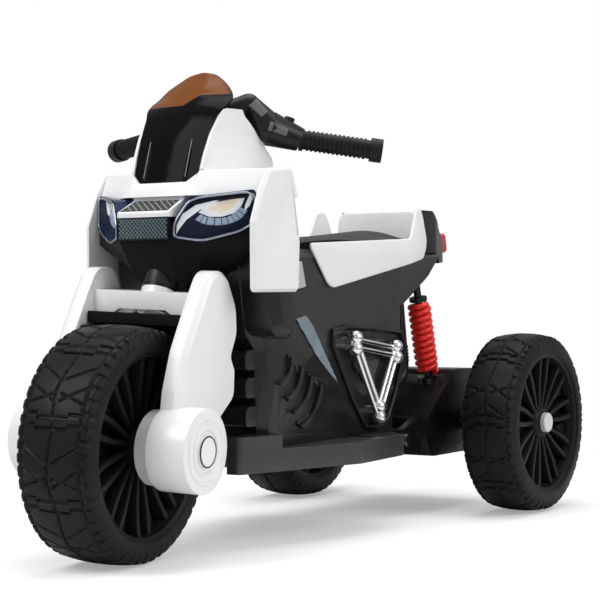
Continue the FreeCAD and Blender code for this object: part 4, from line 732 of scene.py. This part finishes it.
# Headlights: plates and segments inside the clear lens, laid out on the lens plane
lampSet = {"inner": (0.036, 0.052), "outer": (0.114, 0.113)}
lampPlates = [
    {"name": "lamp_floor", "finish": "lampNavy", "depth": -0.0195, "thick": 0.003, "edge": 0.0008,
     "outline": [(7, 357), (8, 372), (25, 395), (92, 403), (94, 374), (77, 365), (36, 354)]},
    {"name": "lamp_brow", "finish": "satinBlack", "depth": -0.008, "thick": 0.004, "edge": 0.0008,
     "outline": [(24, 393), (30, 396), (92, 404), (92, 400), (60, 396), (34, 392)]},
    # the eyelid is a painted highlight: a white plate where a bright reflection lies at the top of the lens
    {"name": "lamp_eyelid_highlight", "finish": "lampWhite", "depth": -0.006, "thick": 0.003, "edge": 0.001,
     "outline": [(7, 358), (8, 369), (14, 381), (29, 391), (50, 396), (55, 396), (47, 392), (33, 385),
                 (19, 375), (11, 365)]},
    {"name": "lamp_reflector", "finish": "lampWhite", "depth": -0.012, "thick": 0.003, "edge": 0.001,
     "outline": [(32, 383), (44, 393), (66, 397), (84, 400), (80, 390), (72, 382), (58, 378), (44, 378)]},
    {"name": "lamp_core", "finish": "lampCorePaintedGlow", "depth": -0.0085, "thick": 0.003, "edge": 0.0012,
     "outline": [(42, 388), (60, 393), (70, 399), (78, 399), (73, 391), (66, 385), (56, 382), (47, 384)]},
    {"name": "lamp_strip", "finish": "lampWhite", "depth": -0.007, "thick": 0.004, "edge": 0.0012,
     "outline": [(83, 384), (84, 391), (89, 403), (92, 404), (93, 400), (89, 390)]},
]
lampArc = {"outer": [(28, 375), (38, 369.5), (55, 368), (69, 370.5), (80, 376), (87, 385)],
           "inner": [(34, 381), (41, 377.5), (55, 376.2), (66, 378), (73, 382.5), (78.5, 389)],
           "segments": 9, "gap": 0.12, "depth": -0.009, "thick": 0.004, "edge": 0.0006}
lampRim = {"outline": [(4.0, 355.5), (5.5, 372), (23, 398), (93.5, 406), (96.3, 373), (78, 361.8),
                       (36, 351)],
           "radius": 0.0012, "depth": 0.0012, "cut": 0.14, "cuts": 2}
mould("lampWhite", ((0.90, 0.91, 0.92), (0.80, 0.81, 0.83)), (0.08, 0.16), 0.004, 0.00003)
mould("lampBlue", ((0.36, 0.45, 0.62), (0.50, 0.58, 0.72)), (0.08, 0.18), 0.003, 0.00003, patch=0.02)
mould("lampChrome", ((0.52, 0.55, 0.62), (0.40, 0.43, 0.50)), (0.08, 0.16), 0.003, 0.00002,
      metallic=1.0, patch=0.02)


def paintedGlowFrom(finish, colour, strength):
    # painted light: a faint glow that lifts bright parts out of the shade behind a lens
    body = finishes[finish].node_tree.nodes["Principled BSDF"]
    body.inputs["Emission Color"].default_value = (*colour, 1)
    body.inputs["Emission Strength"].default_value = strength


# painted light on the white, core and blue lamp parts, making up for the shade inside the lens
paintedGlowFrom("lampWhite", (0.92, 0.95, 1.0), 0.35)
paintedGlowFrom("lampCorePaintedGlow", (1.0, 0.86, 0.66), 0.30)
paintedGlowFrom("lampBlue", (0.42, 0.55, 0.78), 0.10)


def lampPoint(along, height, depth):
    inner = Vector((lampSet["inner"][0], lampSet["inner"][1] + frontAxleY, 0))
    outer = Vector((lampSet["outer"][0], lampSet["outer"][1] + frontAxleY, 0))
    run = (outer - inner).normalized()
    out = Vector((run.y, -run.x, 0))
    return inner + run * (along / 1000) + out * depth + Vector((0, 0, height / 1000))


def lampPlate(name, outline, plateSet):
    front = [lampPoint(s, z, plateSet["depth"]) for s, z in outline]
    back = [lampPoint(s, z, plateSet["depth"] - plateSet["thick"]) for s, z in outline]
    return plateBetween(name, front, back, plateSet["edge"])


def alongLine(points, share):
    # a point part of the way along a line of points, by number of its runs
    place = share * (len(points) - 1)
    low = min(int(place), len(points) - 2)
    part = place - low
    return tuple(points[low][k] + (points[low + 1][k] - points[low][k]) * part for k in (0, 1))


def roundLoop(points, cut, times):
    # cuts the corners of a closed line, so that it runs in soft bends
    for _ in range(times):
        softer = []
        for i in range(len(points)):
            here = points[i]
            there = points[(i + 1) % len(points)]
            for share in (cut, 1 - cut):
                softer.append(tuple(here[k] + (there[k] - here[k]) * share for k in (0, 1)))
        points = softer
    return points


for plateSet in lampPlates:
    plate = lampPlate(plateSet["name"], plateSet["outline"], plateSet)
    plate = mirrorPair(plate, plateSet["name"] + "s")
    dress(plate, plateSet["finish"], "headlight_leds", smooth=50)
    if plateSet["name"] == "lamp_core":
        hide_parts("headlight_leds")
segments = []
for i in range(lampArc["segments"]):
    low = (i + lampArc["gap"] / 2) / lampArc["segments"]
    high = (i + 1 - lampArc["gap"] / 2) / lampArc["segments"]
    corners = [alongLine(lampArc["outer"], low), alongLine(lampArc["outer"], high),
               alongLine(lampArc["inner"], high), alongLine(lampArc["inner"], low)]
    segments.append(lampPlate("lamp_segment", corners, lampArc))
arc = mirrorPair(joinPieces(segments, "lamp_arc"), "lamp_arcs")
dress(arc, "lampBlue", "headlight_leds", smooth=40)
rimLine = roundLoop(lampRim["outline"], lampRim["cut"], lampRim["cuts"])
rimLine = [lampPoint(s, z, lampRim["depth"]) for s, z in rimLine]
rim = mirrorPair(tubeAlong("lamp_rim", rimLine, lampRim["radius"], closed=True), "lamp_rims")
dress(rim, "lampChrome", "headlight_lenses", smooth=40)
print("headlights filled")


# Nose grille: crossed bars in front of a dark plate
grilleSet = {"half": 0.0335, "low": 0.3545, "high": 0.3760, "front": 0.0502, "pitch": 0.0050, "bar": 0.00085,
             "offset": 0.001, "shortest": 0.001}


def makeGrille():
    half = grilleSet["half"]
    tall = grilleSet["high"] - grilleSet["low"]
    front = grilleSet["front"] + frontAxleY
    bars = []
    count = int((2 * half + tall) / grilleSet["pitch"]) + 1
    for lean in (1, -1):
        for i in range(count):
            start = -half - tall + i * grilleSet["pitch"] + grilleSet["offset"]
            low = max(0.0, -half - start)
            high = min(tall, half - start)
            if high - low < grilleSet["shortest"]:
                continue
            ends = [(lean * (start + low), front, grilleSet["low"] + low),
                    (lean * (start + high), front, grilleSet["low"] + high)]
            bars.append(tubeAlong("grille_bar", ends, grilleSet["bar"], sides=1))
    mesh = joinPieces(bars, "grille_bars")
    faceOut(mesh)
    return mesh


dress(makeGrille(), "meshTeal", "nose_grilles", smooth=50)
print("grille made")


# Nose vent: a dark plate on the slope over the grille, painted shade for the inside of the vent, with
# slanting ribs
ventSet = {"front": (33.5, 52.2, 385.1), "back": (30.6, 77.2, 397.2), "lift": (-0.435, 0.90), "thick": 0.8,
           "sunk": 1.5, "margin": 1.5, "edge": 0.0005, "ribs": 9, "early": 2, "pitch": 8.6, "slant": 30.0,
           "rib": 0.00055, "shortest": 0.15}
mould("ventPaintedShade", ((0.035, 0.036, 0.037), (0.055, 0.056, 0.058)), (0.45, 0.6), 0.0009, 0.0001, specular=0.2)
mould("ventPale", ((0.42, 0.43, 0.44), (0.34, 0.35, 0.36)), (0.35, 0.5), 0.001, 0.00004)


def ventSpot(x, share, lift):
    front = Vector(ventSet["front"])
    back = Vector(ventSet["back"])
    aft = front.y + (back.y - front.y) * share + ventSet["lift"][0] * lift
    z = front.z + (back.z - front.z) * share + ventSet["lift"][1] * lift
    return sideSpot(x, aft, z)


def makeVent():
    wide = ventSet["front"][0]
    narrow = ventSet["back"][0]
    sunk = ventSet["sunk"]
    slant = ventSet["slant"]
    reach = wide - ventSet["margin"]
    outline = [ventSpot(x, share, -sunk) for x, share in ((-wide, 0), (wide, 0), (narrow, 1), (-narrow, 1))]
    rise = Vector((0, *ventSet["lift"])) * (ventSet["thick"] + sunk) / 1000
    plate = slab("vent_plate", outline, rise, ventSet["edge"])
    ribs = []
    for i in range(-ventSet["early"], ventSet["ribs"]):
        backX = -narrow + ventSet["pitch"] * i
        low = max(0.0, (-reach - backX) / slant)
        high = min(1.0, (reach - backX) / slant)
        if high - low < ventSet["shortest"]:
            continue
        line = [ventSpot(backX + slant * part, 1 - part, ventSet["thick"]) for part in (low, high)]
        ribs.append(tubeAlong("vent_rib", line, ventSet["rib"], sides=1))
    ribs = joinPieces(ribs, "vent_ribs")
    faceOut(ribs)
    return plate, ribs


ventPlate, ventRibs = makeVent()
dress(ventPlate, "ventPaintedShade", "nose_grilles")
dress(ventRibs, "ventPale", "nose_grilles")
print("vent made")


# Windscreen: one smooth curved sheet with two shallow creases
# A section is its height, its half width, and how far aft its middle and its edges are
screenSet = {"sections": [(418, 34, 87, 90), (428, 46, 90, 95), (470, 48.5, 104, 110), (494, 50, 116, 122),
                          (504, 55, 123, 131), (512, 56.5, 130, 141), (520, 53, 138, 151),
                          (531, 43, 148, 157), (541, 29, 158, 163), (547, 17.5, 163.5, 165.5),
                          (550, 3, 166, 166.5)],
             "wall": 0.003, "edge": 0.0007, "rows": 84, "columns": 112, "rim": 0.12, "crease": 29.2,
             "creaseTop": 476, "creaseFade": 30, "creaseWidth": 1.6, "ridge": 0.9}


def screenRow(i):
    return glide(screenSet["sections"], i / screenSet["rows"] * (len(screenSet["sections"]) - 1))


def makeScreen():
    rows = screenSet["rows"]
    columns = screenSet["columns"]
    points = []
    rims = []
    for i in range(rows + 1):
        z, half, middle, edge = screenRow(i)
        fade = min(1.0, max(0.0, (screenSet["creaseTop"] - z) / screenSet["creaseFade"]))
        for j in range(columns + 1):
            across = 2 * j / columns - 1
            x = half * across
            offCrease = (abs(x) - screenSet["crease"]) / screenSet["creaseWidth"]
            ridge = screenSet["ridge"] * fade * math.exp(-offCrease ** 2)
            points.append(sideSpot(x, middle + (edge - middle) * across ** 2 - ridge, z))
            # rim values rise towards the edges, where the screen is painted darker as shade
            rims.append(max(0.0, (abs(across) - (1 - screenSet["rim"])) / screenSet["rim"]))
    wide = columns + 1
    faces = []
    for i in range(rows):
        for j in range(columns):
            a = i * wide + j
            faces.append((a, a + 1, a + wide + 1, a + wide))
    sheet = meshFrom("windscreen_sheet", points, faces)
    rim = sheet.data.attributes.new("rim", "FLOAT", "POINT")
    for spot, value in zip(rim.data, rims):
        spot.value = value
    useModifier(sheet, "SOLIDIFY", thickness=screenSet["wall"], offset=-1.0)
    roundEdges(sheet, screenSet["edge"], segments=2, angle=50)
    return sheet


screen = makeScreen()
dress(screen, "amberScreen", "windscreen", smooth=40)
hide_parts("windscreen")
print("screen made", len(screen.data.polygons))


# Pale tubes painted as highlights where the light runs down the screen's creases
streakSet = {"low": 424, "high": 470, "radius": 0.0006}
mould("creaseHighlightGrey", ((0.22, 0.22, 0.225), (0.16, 0.16, 0.165)), (0.2, 0.3), 0.001, 0.00002)


def makeStreaks():
    x = screenSet["crease"]
    line = []
    for i in range(screenSet["rows"] + 1):
        z, half, middle, edge = screenRow(i)
        if streakSet["low"] < z < streakSet["high"]:
            line.append(sideSpot(x, middle + (edge - middle) * (x / half) ** 2 - screenSet["ridge"], z))
    return mirrorPair(tubeAlong("screen_streak", line, streakSet["radius"]), "screen_streaks")


dress(makeStreaks(), "creaseHighlightGrey", "windscreen", smooth=60)
print("streaks made")


# Rear springs: wound wire between the top mount and the foot
springSet = {"side": 60.0, "top": (570.0, 280.0), "foot": (596.0, 178.5), "coil": 11.9, "footCoil": 11.3,
             "footTurns": 2.0, "footGap": 1.6, "wire": 4.0, "turns": 11, "steps": 34,
             "pivot": (504.0, 99.0), "lift": 6.0}


def makeSprings():
    top = sideSpot(springSet["side"], *springSet["top"])
    foot = sideSpot(springSet["side"], *springSet["foot"])
    wire = springSet["wire"] / 1000
    along = (foot - top).normalized()
    reach = (foot - top).length - (2 * springSet["wire"] + springSet["footGap"]) / 1000
    across = Vector((1, 0, 0))
    other = along.cross(across)
    count = springSet["turns"] * springSet["steps"]
    footTurns = springSet["footTurns"]
    line = []
    for i in range(count + 1):
        turn = 2 * math.pi * i / springSet["steps"]
        late = (i / springSet["steps"] - springSet["turns"] + footTurns) / footTurns
        coil = springSet["coil"] + (springSet["footCoil"] - springSet["coil"]) * min(1.0, max(0.0, 2 * late))
        ring = (across * math.cos(turn) + other * math.sin(turn)) * coil / 1000
        line.append(top + along * (wire + reach * i / count) + ring)
    return mirrorPair(tubeAlong("spring_wire", line, wire, sides=5), "spring_wires"), top, foot


springs, springTop, springFoot = makeSprings()
dress(springs, "springRed", "shock_springs", smooth=50)
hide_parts("shock_springs")
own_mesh(springs)


# Side trims: the mesh plate inside the bright triangle, the hatched flash and its framed tab
trimPlate = {"outline": [(369, 205), (434, 209), (408, 168)], "low": 78.0, "thick": 1.6, "edge": 0.0006}
trimSurround = {"outline": [(322, 246), (350, 250), (420, 246), (486, 240), (500, 222), (470, 160),
                            (452, 130), (425, 121), (396, 124), (366, 160), (322, 229)],
                "place": 79.2, "radius": 0.0032}
# the tab stands above the split and the flash below it
flashSet = {"foot": 0.0, "split": 0.288, "top": 1.0, "edge": 0.0006}
tabFrame = {"outline": [(243.5, 333), (255, 333), (266, 298.5), (242.5, 294)], "low": 77.6, "thick": 1.2,
            "edge": 0.0005}
hatchSet = {"pitch": 0.0026, "slant": 38, "patch": 0.03, "finePatch": 0.01, "fineDetail": 4.0,
            "roughness": (0.22, 0.4), "depth": 0.00008, "ground": ((0.42, 0.50, 0.56), (0.28, 0.34, 0.39)),
            "line": (0.06, 0.08, 0.10)}
mould("trimMesh", ((0.045, 0.045, 0.046), (0.06, 0.06, 0.061)), (0.35, 0.5), 0.0012, 0.0004, specular=0.3)


def hatched(name):
    # fine slanting lines printed on a satin plate
    tree, body, where = startPaint(name)
    turn = tree.nodes.new("ShaderNodeMapping")
    turn.inputs["Rotation"].default_value = (math.radians(hatchSet["slant"]), 0, 0)
    tree.links.new(where, turn.inputs["Vector"])
    lines = tree.nodes.new("ShaderNodeTexWave")
    lines.bands_direction = "Z"
    waveRate = 20  # what the wave node multiplies a place by before its sine
    lines.inputs["Scale"].default_value = 2 * math.pi / (waveRate * hatchSet["pitch"])
    tree.links.new(turn.outputs["Vector"], lines.inputs["Vector"])
    ground = mixColours(tree, cloudOn(tree, where, hatchSet["patch"]), *hatchSet["ground"])
    printed = mixColours(tree, lines.outputs["Fac"], hatchSet["line"], ground)
    tree.links.new(printed, body.inputs["Base Color"])
    glossOn(tree, body, where, hatchSet["finePatch"], hatchSet["fineDetail"], hatchSet["roughness"])
    grainOn(tree, body, lines.outputs["Fac"], hatchSet["depth"])


hatched("flashHatch")
mould("tabGrey", ((0.52, 0.54, 0.55), (0.42, 0.44, 0.45)), (0.25, 0.4), 0.001, 0.00004)


def keepPart(obj, low, high):
    # deletes all of a copy outside a range of heights
    pickOnly(obj)
    bpy.ops.object.mode_set(mode="EDIT")
    bpy.ops.mesh.select_all(action="DESELECT")
    bpy.ops.object.mode_set(mode="OBJECT")
    for vertex in obj.data.vertices:
        vertex.select = not low < vertex.co.z < high
    bpy.ops.object.mode_set(mode="EDIT")
    bpy.ops.mesh.delete(type="VERT")
    bpy.ops.object.mode_set(mode="OBJECT")


def sideOutline(place, outline):
    return [sideSpot(place, aft, z) for aft, z in outline]


def sidePlates(name, pairName, plateSet):
    outline = sideOutline(plateSet["low"], plateSet["outline"])
    plate = slab(name, outline, (plateSet["thick"] / 1000, 0, 0), plateSet["edge"])
    return mirrorPair(plate, pairName)


def flashPart(name, low, high, finish):
    part = copyOf("flash_trims", name)
    keepPart(part, low, high)
    roundEdges(part, flashSet["edge"], segments=2, angle=32)
    dress(part, finish, "flash_trims")
    return part


plate = sidePlates("trim_mesh", "trim_meshes", trimPlate)
dress(plate, "trimMesh", "chassis_left", smooth=40)
surroundLine = sideOutline(trimSurround["place"], trimSurround["outline"])
surround = tubeAlong("trim_surround", surroundLine, trimSurround["radius"], closed=True, sides=4)
dress(mirrorPair(surround, "trim_surrounds"), "satinBlack", "chassis_left", smooth=60)
flash = flashPart("flash_plates", flashSet["foot"], flashSet["split"], "flashHatch")
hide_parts("flash_trims")
flashPart("flash_tabs", flashSet["split"], flashSet["top"], "tabGrey")
tabBack = sidePlates("tab_back", "tab_backs", tabFrame)
dress(tabBack, "satinBlack", "chassis_left", smooth=40)
print("side trims made")


# Round lines on the side: lips of the louvres and a bright strip on the tail
sideLines = [
    {"name": "louvre_lips", "finish": "bodyBlackPaintedSheen", "node": "chassis_left", "radius": 0.0036, "place": 77.2,
     "lines": [[(220, 218), (239, 209), (247, 193), (239, 178), (219, 169)],
               [(263, 196), (285, 183), (294, 166), (278, 150), (240, 138)]]},
    {"name": "tail_strips", "finish": "brightTrim", "node": "tail_cap", "radius": 0.0022, "place": 57.0,
     "lines": [[(577, 398), (594, 400), (611, 399), (622, 393), (630, 382)]]},
]
lineSteps = 8  # points for each run of a line


def makeSideLines(lineSet):
    tubes = []
    for line in lineSet["lines"]:
        rows = [(lineSet["place"], *spot) for spot in line]
        count = lineSteps * (len(rows) - 1)
        points = [sideSpot(*glide(rows, i / lineSteps)) for i in range(count + 1)]
        tubes.append(tubeAlong(lineSet["name"], points, lineSet["radius"], sides=4))
    return mirrorPair(joinPieces(tubes, lineSet["name"]), lineSet["name"])


for lineSet in sideLines:
    dress(makeSideLines(lineSet), lineSet["finish"], lineSet["node"], smooth=60)
print("side lines made")


# Handlebar covers: flat plates on the arm and the pod
barPlateSet = {"sunk": 3.0, "thick": 0.0038, "edge": 0.0012, "narrow": 0.8}
barPlates = [
    {"start": (47, 190, 514), "end": (70, 201, 487), "from": 0.05, "to": 0.60, "half": 7.0,
     "stand": (13.2, 16.0), "facing": (0.62, -0.70, 0.36)},
    {"start": (70, 201, 487), "end": (98, 223, 476), "from": -0.12, "to": 0.50, "half": 5.5,
     "stand": (19.6, 17.6), "facing": (0.62, -0.77, 0.05)},
]
mould("plateGrey", ((0.085, 0.085, 0.088), (0.12, 0.12, 0.124)), (0.3, 0.42), 0.001, 0.00006, specular=0.35)


def makeBarPlates():
    pieces = []
    narrow = barPlateSet["narrow"]
    for plateSet in barPlates:
        start = sideSpot(*plateSet["start"])
        end = sideSpot(*plateSet["end"])
        along = (end - start).normalized()
        facing = Vector(plateSet["facing"])
        facing = (facing - along * facing.dot(along)).normalized()
        side = along.cross(facing) * plateSet["half"] / 1000
        corners = []
        for share, stand, sign in (("from", 0, -1), ("to", 1, -narrow), ("to", 1, narrow), ("from", 0, 1)):
            lift = facing * (plateSet["stand"][stand] - barPlateSet["sunk"]) / 1000
            corners.append(start + (end - start) * plateSet[share] + lift + side * sign)
        pieces.append(slab("bar_plate", corners, facing * barPlateSet["thick"], barPlateSet["edge"]))
    return mirrorPair(joinPieces(pieces, "bar_plate"), "bar_plates")


barCover = makeBarPlates()
barCover.data.transform(steerTurn())
dress(barCover, "plateGrey", "handlebar", smooth=40)
print("bar plates made")


# Axle drums: a dark line round each cap, and raised rings on the drum's face
ringSteps = {"round": 72, "section": 14}
drumRings = [
    {"name": "cap_lines", "finish": "satinBlack", "node": "handlebar", "place": 0.1147, "ring": 0.0163,
     "thick": 0.0009},
    {"name": "drum_inner_rings", "finish": "glossWhite", "node": "fork_crown", "place": 0.1117,
     "ring": 0.0245, "thick": 0.0022},
    {"name": "drum_outer_rings", "finish": "glossWhite", "node": "fork_crown", "place": 0.1114,
     "ring": 0.0350, "thick": 0.0020},
]


def makeDrumRing(ringSet):
    bpy.ops.object.select_all(action="DESELECT")
    bpy.ops.mesh.primitive_torus_add(location=(ringSet["place"], *frontWheelSet["place"][1:]),
                                     rotation=(0, math.pi / 2, 0), major_radius=ringSet["ring"],
                                     minor_radius=ringSet["thick"], major_segments=ringSteps["round"],
                                     minor_segments=ringSteps["section"])
    bpy.ops.object.transform_apply(location=True, rotation=True, scale=True)
    return mirrorPair(bpy.context.object, ringSet["name"])


for ringSet in drumRings:
    ring = makeDrumRing(ringSet)
    ring.data.transform(steerTurn())
    dress(ring, ringSet["finish"], ringSet["node"], smooth=60)
print("drum rings made")
